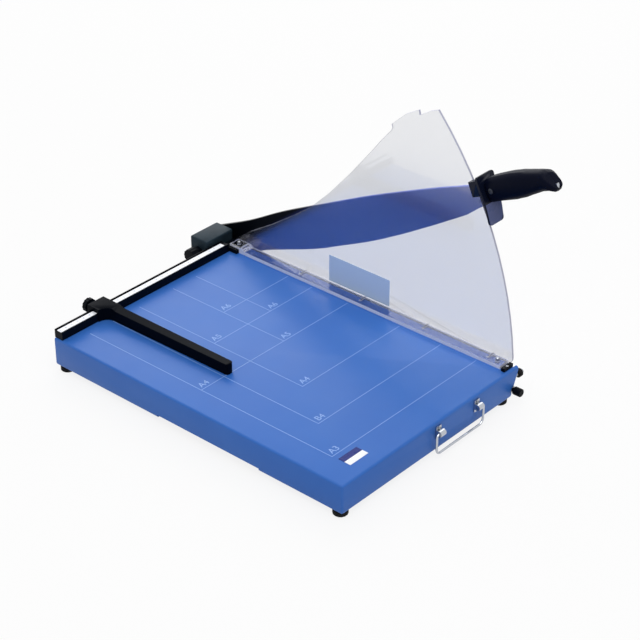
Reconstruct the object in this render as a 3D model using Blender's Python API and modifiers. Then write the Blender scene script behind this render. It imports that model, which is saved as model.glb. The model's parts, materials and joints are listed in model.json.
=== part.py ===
# Guillotine paper cutter with a swinging blade, a clear guard and a sliding stop.
#
# The zero corner of the table is the driving point: x = 0 is the cutting plane, y = 0 the
# front face of the rail at the rear, z = 0 the table top. +X is right, +Y is the rear, and
# the user stands on the -Y side. A root empty carries that corner to its place above the
# floor, so that the whole object stands centred on the origin.

import math

import bmesh
import bpy
from mathutils import Matrix, Vector

# Clearances
GAP = 0.0003
OVERRUN = 0.002
RUNNING = 0.0004

# Lengths that the others follow: the closed arm's shield passes just in front of the table
BLADE_LENGTH = 0.494
PIVOT_Y = 0.030
SHIELD_SHIFT = 0.0042
SHIELD_START = BLADE_LENGTH + SHIELD_SHIFT
SHIELD_PASS = 0.0007
TABLE_FRONT = SHIELD_START - PIVOT_Y - SHIELD_PASS

# Table: a folded steel sheet with skirts and return flanges
TABLE_WIDTH = 0.334
TABLE_REAR = 0.015
TABLE_HEIGHT = 0.040
SHEET = 0.0015
FLANGE = 0.022
FOLD_RADIUS = 0.003
RELIEF_HEIGHT = 0.004
RELIEF_START = 0.169
RELIEF_LENGTH = 0.169

# Right-hand edge: bed blade in front of a hollow beam with a leaning side
BED_THICKNESS = 0.006
BED_HEIGHT = 0.016
BED_REAR = 0.013
BED_FRONT_INSET = 0.004
BED_FRONT = TABLE_FRONT - BED_FRONT_INSET
BED_UPRIGHT = 0.0055
SIDE_LEAN = 0.0135
BEAM_WIDTH = 0.034
BEAM_WALL = 0.003
BED_SCREW_COUNT = 4
BED_SCREW_INSET = 0.024
BED_SCREW_DROP = 0.008
BED_SCREW_LENGTH = 0.012
BED_SCREW_HEAD = 0.0029
BED_SCREW_SINK = 0.0018

# Feet
FOOT_RADIUS = 0.0095
FOOT_HEIGHT = 0.0077
FOOT_CHAMFER = 0.0012
FOOT_INSET_X = 0.0105
FOOT_INSET_Y = 0.0115
FOOT_RIGHT_X = 0.0205
FOOT_STEM_RADIUS = 0.0022
FOOT_BARB_RADIUS = 0.0034
FOOT_BARB_HEIGHT = 0.0025

# Small screws shared by the feet, the rail, the housing and the end blocks
SCREW_RADIUS = 0.0017
SCREW_HEAD = 0.0038
SCREW_HEAD_HEIGHT = 0.0022
SCREW_GRIP = 0.0045

# Rail along the rear edge, with its printed scale strip
RAIL_INSET = 0.002
RAIL_LEFT = TABLE_WIDTH - RAIL_INSET
RAIL_RIGHT = 0.0273
RAIL_DEPTH = 0.014
RAIL_HEIGHT = 0.012
SCALE_WIDTH = 0.0084
SCALE_THICKNESS = 0.0006
SCALE_FRONT = 0.0012
SCALE_END = 0.007
GROOVE_WIDTH = 0.0022
GROOVE_DEPTH = 0.002
GROOVE_REAR = 0.0012
RAIL_SCREW_COUNT = 3
RAIL_SCREW_INSET = 0.028

# Pivot of the blade, behind and below the zero corner
PIVOT_DROP = 0.020
SHAFT_RADIUS = 0.006
SHAFT_COLLAR = 0.0105
SHAFT_THREAD = 0.005
BUSH_RADIUS = 0.0078
BUSH_FLANGE = 0.0088
BUSH_FLANGE_THICKNESS = 0.0015
WASHER_RADIUS = 0.012
WASHER_THICKNESS = 0.0016
NUT_RADIUS = 0.0098
NUT_HEIGHT = 0.008
THREAD_END = 0.002

# Pivot housing, a casting open underneath
HOUSING_LEFT = 0.055
HOUSING_RIGHT = 0.003
HOUSING_DEPTH = 0.0307
HOUSING_TOP = 0.020
HOUSING_DROP = 0.038
HOUSING_ROUND = 0.002
CAVITY_SIDE_WALL = 0.008
CAVITY_FRONT_WALL = 0.0055
CAVITY_TOP_WALL = 0.011
BLIND_BORE = 0.006
HOUSING_SCREW_ROWS = 0.010
HOUSING_SCREW_RISE = 0.010
HOUSING_SCREW_LOW = TABLE_HEIGHT - HOUSING_SCREW_RISE
HOUSING_SCREW_LEFT = 0.048
HOUSING_SCREW_RIGHT = 0.026

# Return spring on the shaft
SPRING_RADIUS = 0.0078
SPRING_WIRE = 0.001
SPRING_TURNS = 6
SPRING_TURN_POINTS = 9
SPRING_PITCH = 0.0036
SPRING_LEG = 0.022

# Spring knob and its eccentric cam, on the left of the housing
SPRING_KNOB_RISE = 0.021
SPRING_KNOB_RADIUS = 0.010
SPRING_KNOB_WIDTH = 0.0125
SPRING_STUB_RADIUS = 0.0078
SPRING_STUB_LENGTH = 0.0067
SPINDLE_RADIUS = 0.003
CAM_RADIUS = 0.005
CAM_OFFSET = 0.0015
CAM_WIDTH = 0.006
KNOB_LOBES = 12
KNOB_LOBE_DEPTH = 0.0004

# Blade in its closed pose: lengths run forward from the pivot, heights from its axis
BLADE_SIDE = 0.0004
BLADE_THICKNESS = 0.0045
BLADE_HEEL = 0.0012
BLADE_BEVEL = 0.011
HUB_RADIUS = 0.022
HUB_TOP = 0.0365
EDGE_START = 0.068
BLADE_STATIONS = 26
BLADE_WIDTH = 0.050
TANG_LENGTH = 0.090
TANG_END = BLADE_LENGTH + TANG_LENGTH
TANG_LOW = 0.029
TANG_HIGH = 0.046
TANG_TAIL_LENGTH = 0.0206
TANG_TAIL_END = TANG_END + TANG_TAIL_LENGTH
TANG_TAIL_LOW = 0.0305
TANG_TAIL_HIGH = 0.0362
OPEN_ANGLE = math.radians(24.75)

# Shares of the blade's length and width that its two long edges pass through
UPPER_EDGE_SHARES = (
    (0.010, 0.73), (0.130, 0.755), (0.260, 0.875), (0.380, 0.93),
    (0.500, 0.975), (0.620, 1.008), (0.830, 0.994), (0.943, 0.954), (1.0, 0.93),
)
LOWER_EDGE_SHARES = (
    (0.010, -0.436), (0.045, -0.37), (0.090, -0.19), (0.138, -0.118), (0.211, -0.144),
    (0.290, -0.198), (0.366, -0.236), (0.445, -0.218), (0.559, -0.188),
    (0.672, -0.098), (0.783, 0.034), (0.858, 0.14), (0.931, 0.248), (0.960, 0.34), (1.0, 0.44),
)

# Hand shield and its collar
SHIELD_THICKNESS = 0.003
SHIELD_LEFT = 0.0155
SHIELD_RIGHT = 0.0175
SHIELD_TAPER = 0.0075
SHIELD_LOW = 0.0016
SHIELD_HIGH = 0.0595
SHIELD_SWEEP = 0.0038
SHIELD_LIP = 0.0018
SHIELD_LIP_WIDTH = 0.007
SHIELD_CORNER = 0.007
SHIELD_CELLS = 7
COLLAR_OVERLAP = 0.0085
COLLAR_START = BLADE_LENGTH - COLLAR_OVERLAP
SLOT_OVERLAP = 0.0005
COLLAR_INNER = BLADE_LENGTH - SLOT_OVERLAP
COLLAR_LEFT = 0.014
COLLAR_RIGHT = 0.0135
COLLAR_LOW = 0.036
COLLAR_HIGH = 0.0555
COLLAR_SLOT = 0.0054
COLLAR_FOOT = 0.0245
STOP_LUG_OVERLAP = 0.008
STOP_LUG_START = BLADE_LENGTH - STOP_LUG_OVERLAP
STOP_LUG_LOW = 0.0095
STOP_LUG_LEFT = 0.006
STOP_LUG_WIDTH = 0.005

# Grip in two halves round the tang
GRIP_SHIFT = 0.011
GRIP_START = BLADE_LENGTH + GRIP_SHIFT
GRIP_LENGTH = 0.096
GRIP_MIDDLE = 0.040
GRIP_HALF_HEIGHT = 0.0172
GRIP_HALF_WIDTH = 0.0138
GRIP_SIDES = 18
GRIP_STATIONS = 12
GRIP_SQUARENESS = 2.6
GRIP_END_STEP = 0.0035
GRIP_RAKE = 0.0055
GRIP_RAKE_START = 0.6
GRIP_PROFILE_SHARES = (
    (0.0, 0.89, 0.84, -0.08), (0.118, 0.942, 0.92, 0.006), (0.22, 0.965, 0.97, 0.02),
    (0.405, 1.0, 1.0, 0.038),
    (0.58, 0.948, 1.0, 0.064), (0.733, 0.82, 0.96, 0.11), (0.846, 0.75, 0.92, 0.134),
    (0.918, 0.744, 0.92, 0.105),
    (1.0, 0.773, 0.95, 0.012),
)
GRIP_SCREW_FRONT = 0.0062
GRIP_SCREW_REAR = 0.071
GRIP_SCREW_SIDES = (-1, 1)
GRIP_SCREW_RADIUS = 0.0019
GRIP_SCREW_HEAD = 0.0036
GRIP_SCREW_SINK = 0.0016

# Clear clamp strip and guard
STRIP_LEFT = 0.0225
STRIP_RIGHT = 0.0048
STRIP_LIFT = 0.001
STRIP_THICKNESS = 0.005
STRIP_FRONT_INSET = 0.0122
STRIP_FRONT = TABLE_FRONT - STRIP_FRONT_INSET
STRIP_REAR = 0.0138
TAB_REAR = 0.003
TAB_FRONT = 0.021
TAB_THICKNESS = 0.003
TAB_SLOPE = 0.004
GUARD_LEFT = 0.0045
GUARD_THICKNESS = 0.003
GUARD_ARC_GAIN = 0.0139
GUARD_ARC_RADIUS = BLADE_LENGTH + GUARD_ARC_GAIN
GUARD_HIGH_SHARE = 0.60445
GUARD_HIGH = GUARD_ARC_RADIUS * GUARD_HIGH_SHARE
GUARD_ARC_Y = 0.0456
GUARD_ARC_DROP = 0.0317
GUARD_ARC_POINTS = 12
GUARD_REAR = 0.013
GUARD_CORNER = 0.010
GUARD_CORNER_SHARES = ((0.03, 0.6), (0.3, 0.12), (0.7, 0))
GUARD_SLOPE_SHARES = (
    (0.0, 0.013), (0.0654, 0.0912), (0.1456, 0.1694), (0.2215, 0.2508), (0.2975, 0.3388), (0.3692, 0.4495),
    (0.4409, 0.5765), (0.5105, 0.7101), (0.5443, 0.7785),
)
GUARD_EAR_SHARES = (
    (0.5759, 0.8371), (0.5823, 0.8534), (0.5791, 0.8697), (0.6245, 0.9349), (0.6667, 0.9723),
    (0.67, 0.9524), (0.7046, 0.986), (0.73, 1.0023),
)
GUARD_SCREW_COUNT = 4
GUARD_SCREW_FIRST = 0.119
GUARD_SCREW_INSET = 0.0365
GUARD_SCREW_PITCH = (TABLE_FRONT - GUARD_SCREW_INSET - GUARD_SCREW_FIRST) / (GUARD_SCREW_COUNT - 1)
GUARD_SCREW_RADIUS = 0.0015
GUARD_SCREW_HEAD = 0.003
GUARD_SCREW_LENGTH = 0.010
CLAMP_TRAVEL = 0.0025

# End blocks and guide pins of the clamp strip
REAR_BLOCK_LEFT = 0.0265
REAR_BLOCK_RIGHT = 0.0053
REAR_BLOCK_HALF = 0.013
REAR_BLOCK_HEIGHT = 0.0062
FRONT_BLOCK_LEFT = 0.0235
FRONT_BLOCK_INSET = 0.0043
FRONT_BLOCK_NEAR = TABLE_FRONT - FRONT_BLOCK_INSET
FRONT_BLOCK_DEPTH = 0.0055
FRONT_BLOCK_FAR = FRONT_BLOCK_NEAR - FRONT_BLOCK_DEPTH
FRONT_BLOCK_HEIGHT = 0.005
GUIDE_X = 0.013
GUIDE_REAR_Y = 0.0056
GUIDE_FRONT_INSET = 0.023
GUIDE_FRONT_Y = TABLE_FRONT - GUIDE_FRONT_INSET
GUIDE_RADIUS = 0.0025
GUIDE_DEPTH = 0.012
GUIDE_PROUD = 0.0008
BLOCK_SCREW_HEAD = 0.002
BLOCK_SCREW_RADIUS = 0.0012
BLOCK_SCREW_HEAD_HEIGHT = 0.0012
BLOCK_SCREW_LENGTH = 0.010

# Sliding stop on the rail
STOP_LEFT = 0.2705
STOP_RIGHT = 0.242
STOP_TOP = 0.018
STOP_FRONT = 0.012
STOP_REAR = 0.0195
ARM_END = 0.212
ARM_ROOT_WIDTH = 0.0145
ARM_END_WIDTH = 0.0115
ARM_HEIGHT = 0.0155
ARM_FILLET = 0.013
ARM_FILLET_STEPS = 5
ARM_SLOPE = 0.006
ARM_BASE = 0.0004
STOP_BOSS_RADIUS = 0.0065
STOP_BOSS_LENGTH = 0.0092
STOP_KNOB_RISE = 0.006
STOP_KNOB_RADIUS = 0.0098
STOP_KNOB_LENGTH = 0.0062

# Bail carry handle on the front skirt
BAIL_MIDDLE = 0.1235
BAIL_HALF_SPAN = 0.0455
BAIL_WIRE = 0.0015
BAIL_AXIS_PROUD = 0.006
BAIL_AXIS_Y = TABLE_FRONT + BAIL_AXIS_PROUD
BAIL_AXIS_DROP = 0.0135
BAIL_LENGTH = 0.0275
BAIL_CORNER = 0.007
BAIL_CORNER_STEPS = 4
EAR_WIDTH = 0.0095
EAR_OFFSET = 0.0035
EAR_PLATE = 0.0018
EAR_HALF_HEIGHT = 0.0082
EAR_RADIUS = 0.0042
EAR_ROUND_STEPS = 6
EAR_SCREW_REACH = 0.0062
EAR_SCREW_RADIUS = 0.001
EAR_SCREW_HEAD = 0.0016
EAR_SCREW_HEAD_HEIGHT = 0.0012
EAR_SCREW_LENGTH = 0.005

# Rubber bumper under the hand shield
BUMPER_RADIUS = 0.0057
BUMPER_LENGTH = 0.0078
BUMPER_LEFT = 0.0053
BUMPER_INSET = 0.0058
BUMPER_Y = TABLE_FRONT - BUMPER_INSET
BUMPER_PIN_RADIUS = 0.002
BUMPER_PIN_SHOULDER = 0.003
BUMPER_PIN_HEAD = 0.004
BUMPER_PIN_HEAD_LENGTH = 0.0018
BUMPER_PIN_START = 0.013

# Blade lock knob at the front right corner
LOCK_X = 0.0085
LOCK_DROP = 0.0305
LOCK_KNOB_RADIUS = 0.0054
LOCK_KNOB_LENGTH = 0.0112
LOCK_ROD_RADIUS = 0.0022
LOCK_ROD_LENGTH = 0.0165
LOCK_BUSH_RADIUS = 0.0046
LOCK_BUSH_INSET = 0.002
LOCK_BUSH_START = TABLE_FRONT - LOCK_BUSH_INSET
LOCK_BUSH_LENGTH = 0.015
LOCK_CHAMFER = 0.0008

# Place of the zero corner in the object's own frame, which stands centred on the floor
ORIGIN_X = 0.1584
ORIGIN_Y = 0.2264
FLOOR_DROP = TABLE_HEIGHT + GAP + FOOT_HEIGHT

SIDES = 24
SMALL_SIDES = 12
FOOT_SIDES = 14
SMOOTH_ANGLE = math.radians(35)
# A face looks along an axis when this share of its normal lies on it
FACING_SHARE = 0.5
CLOSE_POINTS = 0.00001

AXIS_TURNS = {
    "X": Matrix.Rotation(math.radians(90), 4, "Y"),
    "Y": Matrix.Rotation(math.radians(-90), 4, "X"),
    "Z": Matrix.Identity(4),
}


# Scene, materials and basic shapes

def clear_scene():
    for item in list(bpy.data.objects):
        bpy.data.objects.remove(item, do_unlink=True)


def new_collection(name):
    group = bpy.data.collections.new(name)
    bpy.context.scene.collection.children.link(group)
    return group


def linear(code):
    channels = []
    for start in (0, 2, 4):
        value = int(code[start:start + 2], 16) / 255
        channels.append(value / 12.92 if value <= 0.04045 else ((value + 0.055) / 1.055) ** 2.4)
    return (*channels, 1.0)


def finish(name, code, roughness, metallic=0.0, clear=0.0):
    material = bpy.data.materials.new(name)
    material.use_nodes = True
    surface = material.node_tree.nodes["Principled BSDF"]
    surface.inputs["Base Color"].default_value = linear(code)
    surface.inputs["Roughness"].default_value = roughness
    surface.inputs["Metallic"].default_value = metallic
    surface.inputs["Transmission Weight"].default_value = clear
    return material


def empty(name, place, parent=None):
    joint = bpy.data.objects.new(name, None)
    joint.location = place
    joint.parent = parent
    joint.empty_display_size = FOOT_RADIUS
    PARTS.objects.link(joint)
    return joint


def piece(name, shape, material, parent, smooth=True):
    mesh = shape
    if isinstance(shape, bmesh.types.BMesh):
        mesh = bpy.data.meshes.new(name)
        shape.to_mesh(mesh)
        shape.free()
    mesh.materials.clear()
    mesh.materials.append(material)
    if smooth:
        mesh.shade_smooth()
        mesh.set_sharp_from_angle(angle=SMOOTH_ANGLE)
    item = bpy.data.objects.new(name, mesh)
    item.parent = parent
    PARTS.objects.link(item)
    return item


def hidden_tool(name, shape, parent):
    mesh = bpy.data.meshes.new(name)
    shape.to_mesh(mesh)
    shape.free()
    item = bpy.data.objects.new(name, mesh)
    item.parent = parent
    item.hide_render = True
    item.display_type = "WIRE"
    TOOLS.objects.link(item)
    return item


def combine(item, shape, operation, name):
    tool = hidden_tool(item.name + "_" + name, shape, item.parent)
    step = item.modifiers.new(name, "BOOLEAN")
    step.operation = operation
    step.object = tool


def cut(item, shape, name="cut"):
    combine(item, shape, "DIFFERENCE", name)


def join(item, shape, name="join"):
    combine(item, shape, "UNION", name)


def soften(item, width, segments=2):
    step = item.modifiers.new("rounded_edges", "BEVEL")
    step.width = width
    step.segments = segments
    step.limit_method = "ANGLE"
    step.angle_limit = SMOOTH_ANGLE


def box(shape, low, high):
    low, high = Vector(low), Vector(high)
    size = high - low
    place = Matrix.Translation((low + high) / 2) @ Matrix.Diagonal((*size, 1))
    bmesh.ops.create_cube(shape, size=1, matrix=place)
    return shape


def rod(shape, axis, start, length, radius, tip=None, sides=SMALL_SIDES):
    tip = radius if tip is None else tip
    middle = Matrix.Translation(Vector((0, 0, length / 2)))
    place = Matrix.Translation(Vector(start)) @ AXIS_TURNS[axis] @ middle
    bmesh.ops.create_cone(
        shape, cap_ends=True, segments=sides, radius1=radius, radius2=tip, depth=length, matrix=place)
    return shape


def turned(profile, steps=SIDES, closed=False):
    # The profile runs down its outer side in (radius, height) and is spun about Z.
    mesh = bpy.data.meshes.new("profile")
    points = [(radius, 0, height) for radius, height in profile]
    edges = [(index, index + 1) for index in range(len(points) - 1)]
    if closed:
        edges.append((len(points) - 1, 0))
    mesh.from_pydata(points, edges, [])
    lathe = bpy.data.objects.new("profile", mesh)
    PARTS.objects.link(lathe)
    spin = lathe.modifiers.new("spin", "SCREW")
    spin.steps = steps
    spin.render_steps = steps
    spin.use_merge_vertices = True
    spin.merge_threshold = CLOSE_POINTS
    return baked(lathe)


def baked(item):
    # The evaluated mesh of a curve or a modified object, with its caps welded.
    bpy.context.view_layer.update()
    evaluated = item.evaluated_get(bpy.context.evaluated_depsgraph_get())
    mesh = bpy.data.meshes.new_from_object(evaluated)
    shape = bmesh.new()
    shape.from_mesh(mesh)
    shape.transform(item.matrix_world)
    bmesh.ops.remove_doubles(shape, verts=shape.verts, dist=CLOSE_POINTS)
    bpy.data.meshes.remove(mesh)
    bpy.data.objects.remove(item, do_unlink=True)
    return shape


def placed(shape, axis, place):
    shape.transform(Matrix.Translation(Vector(place)) @ AXIS_TURNS[axis])
    return shape


def copies(name, shape, places, material, parent):
    # One piece at each place, all sharing one mesh.
    first = piece(name + "_1", shape, material, parent)
    first.location = places[0]
    for number, place in enumerate(places[1:], 2):
        item = bpy.data.objects.new(name + "_" + str(number), first.data)
        item.location = place
        item.parent = parent
        PARTS.objects.link(item)


def outline(loops, thickness, plane):
    # A flat outline filled and given its thickness; plane names the two axes it is drawn in.
    # It is centred on zero along the third axis.
    data = bpy.data.curves.new("outline", "CURVE")
    data.dimensions = "2D"
    data.fill_mode = "BOTH"
    data.extrude = thickness / 2
    for loop in loops:
        line = data.splines.new("POLY")
        line.points.add(len(loop) - 1)
        for point, (across, up) in zip(line.points, loop):
            point.co = (across, up, 0, 1)
        line.use_cyclic_u = True
    flat = bpy.data.objects.new("outline", data)
    PARTS.objects.link(flat)
    shape = baked(flat)
    if plane == "YZ":
        shape.transform(Matrix(((0, 0, 1, 0), (1, 0, 0, 0), (0, 1, 0, 0), (0, 0, 0, 1))))
    elif plane == "XZ":
        shape.transform(Matrix(((1, 0, 0, 0), (0, 0, -1, 0), (0, 1, 0, 0), (0, 0, 0, 1))))
    return shape


def moved(shape, place):
    bmesh.ops.translate(shape, verts=shape.verts, vec=Vector(place))
    return shape


def wire_path(points, radius, ring=2):
    data = bpy.data.curves.new("wire", "CURVE")
    data.dimensions = "3D"
    data.bevel_depth = radius
    data.bevel_resolution = ring
    data.use_fill_caps = True
    line = data.splines.new("POLY")
    line.points.add(len(points) - 1)
    for point, place in zip(line.points, points):
        point.co = (*place, 1)
    wire = bpy.data.objects.new("wire", data)
    PARTS.objects.link(wire)
    return baked(wire)


def loft(rings):
    # Rings of the same number of points are bridged one after another, with flat ends.
    shape = bmesh.new()
    loops = [[shape.verts.new(point) for point in ring] for ring in rings]
    count = len(loops[0])
    for near, far in zip(loops, loops[1:]):
        for index in range(count):
            after = (index + 1) % count
            shape.faces.new((near[index], near[after], far[after], far[index]))
    shape.faces.new(loops[0])
    shape.faces.new(loops[-1])
    bmesh.ops.recalc_face_normals(shape, faces=shape.faces)
    return shape


def through(shares, length, height, where):
    # Smooth value at one place along a row of (length share, height share) points.
    points = [(along * length, up * height) for along, up in shares]
    if where <= points[0][0]:
        return points[0][1]
    for index in range(len(points) - 1):
        start, end = points[index], points[index + 1]
        if where <= end[0]:
            before = points[max(index - 1, 0)]
            after = points[min(index + 2, len(points) - 1)]
            step = end[0] - start[0]
            rise_in = (end[1] - before[1]) / (end[0] - before[0]) * step
            rise_out = (after[1] - start[1]) / (after[0] - start[0]) * step
            part = (where - start[0]) / step
            return (
                (2 * part ** 3 - 3 * part ** 2 + 1) * start[1]
                + (part ** 3 - 2 * part ** 2 + part) * rise_in
                + (3 * part ** 2 - 2 * part ** 3) * end[1]
                + (part ** 3 - part ** 2) * rise_out)
    return points[-1][1]


def arc(centre, radius, start, end, steps):
    return [
        (centre[0] + radius * math.cos(start + (end - start) * step / steps),
         centre[1] + radius * math.sin(start + (end - start) * step / steps))
        for step in range(steps + 1)]


def screw_shape(radius, length, head, head_height, dome=0.25):
    # Shank below zero, round head above it, along Z.
    return turned((
        (0, head_height), (head * (1 - dome), head_height), (head, head_height * (1 - dome)),
        (head, 0), (radius, 0), (radius, -length), (0, -length)), SMALL_SIDES)


# Table and right-hand edge

def side_line(drop):
    # The right-hand side leans in below the upright part of the bed blade.
    return -max(drop - BED_UPRIGHT, 0) * SIDE_LEAN / (TABLE_HEIGHT - BED_UPRIGHT)


def foot_places():
    left = FOOT_INSET_X - TABLE_WIDTH
    front = FOOT_INSET_Y - TABLE_FRONT
    rear = TABLE_REAR - FOOT_INSET_Y
    return {
        "front_left": (left, front), "rear_left": (left, rear),
        "front_right": (-FOOT_RIGHT_X, front), "rear_right": (-FOOT_RIGHT_X, rear),
    }


def rail_screw_places():
    span = RAIL_LEFT - RAIL_RIGHT - 2 * RAIL_SCREW_INSET
    step = span / (RAIL_SCREW_COUNT - 1)
    return [
        (RAIL_SCREW_INSET - RAIL_LEFT + step * index, RAIL_DEPTH / 2)
        for index in range(RAIL_SCREW_COUNT)]


def housing_screw_places():
    return [(-HOUSING_SCREW_LEFT, -HOUSING_SCREW_LOW), (-HOUSING_SCREW_RIGHT, -HOUSING_SCREW_ROWS)]


def block_screw_places():
    middle = -(FRONT_BLOCK_LEFT + REAR_BLOCK_RIGHT) / 2
    front = -(FRONT_BLOCK_NEAR + FRONT_BLOCK_FAR) / 2
    rear_x = -(REAR_BLOCK_LEFT + REAR_BLOCK_RIGHT) / 2
    return {
        "front": [(middle, front)],
        "rear": [(rear_x, REAR_BLOCK_HALF / 2)],
    }


def guide_places():
    return [(-GUIDE_X, -GUIDE_REAR_Y), (-GUIDE_X, -GUIDE_FRONT_Y)]


def ear_middles():
    inner = BAIL_HALF_SPAN - EAR_OFFSET - EAR_WIDTH / 2
    return [-BAIL_MIDDLE - inner, -BAIL_MIDDLE + inner]


def ear_screw_heights():
    return [-BAIL_AXIS_DROP - EAR_SCREW_REACH, -BAIL_AXIS_DROP + EAR_SCREW_REACH]


def make_base_shell():
    shape = bmesh.new()
    box(shape, (-TABLE_WIDTH, -TABLE_FRONT, -TABLE_HEIGHT), (0, TABLE_REAR, 0))
    bottom = [face for face in shape.faces if face.normal.z < -FACING_SHARE]
    bmesh.ops.inset_individual(shape, faces=bottom, thickness=FLANGE)
    right = [face for face in shape.faces if face.normal.x > FACING_SHARE]
    bmesh.ops.delete(shape, geom=bottom + right, context="FACES")
    under_edge = [
        face for face in shape.faces
        if face.normal.z < -FACING_SHARE and face.calc_center_median().x > -FLANGE]
    bmesh.ops.delete(shape, geom=under_edge, context="FACES")
    folds = [
        edge for edge in shape.edges
        if len(edge.link_faces) == 2 and edge.calc_face_angle() > SMOOTH_ANGLE]
    bmesh.ops.bevel(
        shape, geom=folds, offset=FOLD_RADIUS, offset_type="OFFSET", segments=3, profile=0.5,
        affect="EDGES", clamp_overlap=True, material=-1)
    bmesh.ops.recalc_face_normals(shape, faces=shape.faces)
    shell = piece("base_shell", shape, PAINT, ROOT)
    wall = shell.modifiers.new("sheet", "SOLIDIFY")
    wall.thickness = SHEET
    wall.offset = -1
    wall.use_even_offset = True

    edge = bmesh.new()
    box(edge, (-BED_THICKNESS - GAP, -BED_FRONT - GAP, -TABLE_HEIGHT - OVERRUN),
        (OVERRUN, TABLE_REAR + OVERRUN, OVERRUN))
    cut(shell, edge, "bed_blade_slot")

    lean = (
        (OVERRUN, -BED_UPRIGHT), (side_line(BED_UPRIGHT), -BED_UPRIGHT),
        (side_line(TABLE_HEIGHT) - GAP, -TABLE_HEIGHT - GAP), (OVERRUN, -TABLE_HEIGHT - GAP))
    cut(shell, moved(outline([lean], TABLE_FRONT, "XZ"), (0, -TABLE_FRONT, 0)), "leaning_side")

    relief = bmesh.new()
    box(
        relief, (-TABLE_WIDTH - OVERRUN, -RELIEF_START - RELIEF_LENGTH, -TABLE_HEIGHT - OVERRUN),
        (FLANGE + OVERRUN - TABLE_WIDTH, -RELIEF_START, RELIEF_HEIGHT - TABLE_HEIGHT))
    cut(shell, relief, "finger_relief")

    holes = bmesh.new()
    bore = SCREW_RADIUS + GAP
    deep = SHEET + 2 * OVERRUN
    for across, along in foot_places().values():
        rod(holes, "Z", (across, along, -TABLE_HEIGHT - OVERRUN), deep, FOOT_STEM_RADIUS + GAP)
    for across, along in rail_screw_places():
        rod(holes, "Z", (across, along, -SHEET - OVERRUN), deep, bore)
    for across, along in guide_places():
        rod(holes, "Z", (across, along, -SHEET - OVERRUN), deep, GUIDE_RADIUS + GAP)
    for places in block_screw_places().values():
        for across, along in places:
            rod(holes, "Z", (across, along, -SHEET - OVERRUN), deep, BLOCK_SCREW_RADIUS + GAP)
    for across, up in housing_screw_places():
        rod(holes, "Y", (across, TABLE_REAR - SHEET - OVERRUN, up), deep, bore)
    for middle in ear_middles():
        for up in ear_screw_heights():
            rod(holes, "Y", (middle, -TABLE_FRONT - OVERRUN, up), deep, EAR_SCREW_RADIUS + GAP)
    cut(shell, holes, "screw_holes")
    lock = bmesh.new()
    rod(lock, "Y", (-LOCK_X, -TABLE_FRONT - OVERRUN, -LOCK_DROP), deep, LOCK_BUSH_RADIUS + GAP, sides=SIDES)
    cut(shell, lock, "lock_hole")
    return shell


def make_edge_beam():
    top = -SHEET - GAP
    bottom = SHEET + GAP - TABLE_HEIGHT
    seat = -BED_THICKNESS - GAP
    ledge = -BED_HEIGHT - GAP
    left = -BED_THICKNESS - BEAM_WIDTH
    outer = [
        (left, top), (seat, top), (seat, ledge), (side_line(-ledge) - GAP, ledge),
        (side_line(-bottom) - GAP, bottom), (left, bottom)]
    inner_right = seat - BEAM_WALL
    inner = [
        (left + BEAM_WALL, top - BEAM_WALL), (inner_right, top - BEAM_WALL),
        (inner_right, ledge - BEAM_WALL),
        (side_line(-bottom) - 1.3 * BEAM_WALL, bottom + BEAM_WALL), (left + BEAM_WALL, bottom + BEAM_WALL)]
    near = FOLD_RADIUS - TABLE_FRONT
    far = TABLE_REAR - FOLD_RADIUS
    shape = moved(outline([outer, inner], far - near, "XZ"), (0, (near + far) / 2, 0))
    beam = piece("edge_beam", shape, BEAM_METAL, ROOT, smooth=False)

    holes = bmesh.new()
    for name, (across, along) in foot_places().items():
        if name.endswith("right"):
            rod(holes, "Z", (across, along, bottom - OVERRUN), BEAM_WALL + 2 * OVERRUN,
                FOOT_STEM_RADIUS + GAP)
    for across, along in guide_places():
        rod(holes, "Z", (across, along, top - BEAM_WALL - OVERRUN), BEAM_WALL + 2 * OVERRUN,
            GUIDE_RADIUS + GAP)
    for places in block_screw_places().values():
        for across, along in places:
            rod(
                holes, "Z", (across, along, top - BEAM_WALL - OVERRUN),
                BEAM_WALL + 2 * OVERRUN, BLOCK_SCREW_RADIUS + GAP)
    for along in bed_screw_places():
        start = (inner_right - OVERRUN, along, -BED_SCREW_DROP)
        rod(holes, "X", start, BEAM_WALL + 2 * OVERRUN, SCREW_RADIUS + GAP)
    cut(beam, holes, "screw_holes")
    pin = bmesh.new()
    rod(pin, "X", (-BUMPER_PIN_START - OVERRUN, -BUMPER_Y, bumper_height()), BUMPER_PIN_START + OVERRUN,
        BUMPER_PIN_RADIUS + GAP)
    cut(beam, pin, "bumper_pin_hole")
    groove = bmesh.new()
    rod(
        groove, "Y", (-LOCK_X, -TABLE_FRONT, -LOCK_DROP),
        TABLE_FRONT - LOCK_BUSH_START + LOCK_BUSH_LENGTH + GAP,
        LOCK_BUSH_RADIUS + GAP, sides=SIDES)
    cut(beam, groove, "lock_bush_seat")
    return beam


def bed_screw_places():
    first = BED_SCREW_INSET - BED_FRONT
    last = BED_REAR - BED_SCREW_INSET
    step = (last - first) / (BED_SCREW_COUNT - 1)
    return [first + step * index for index in range(BED_SCREW_COUNT)]


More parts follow.
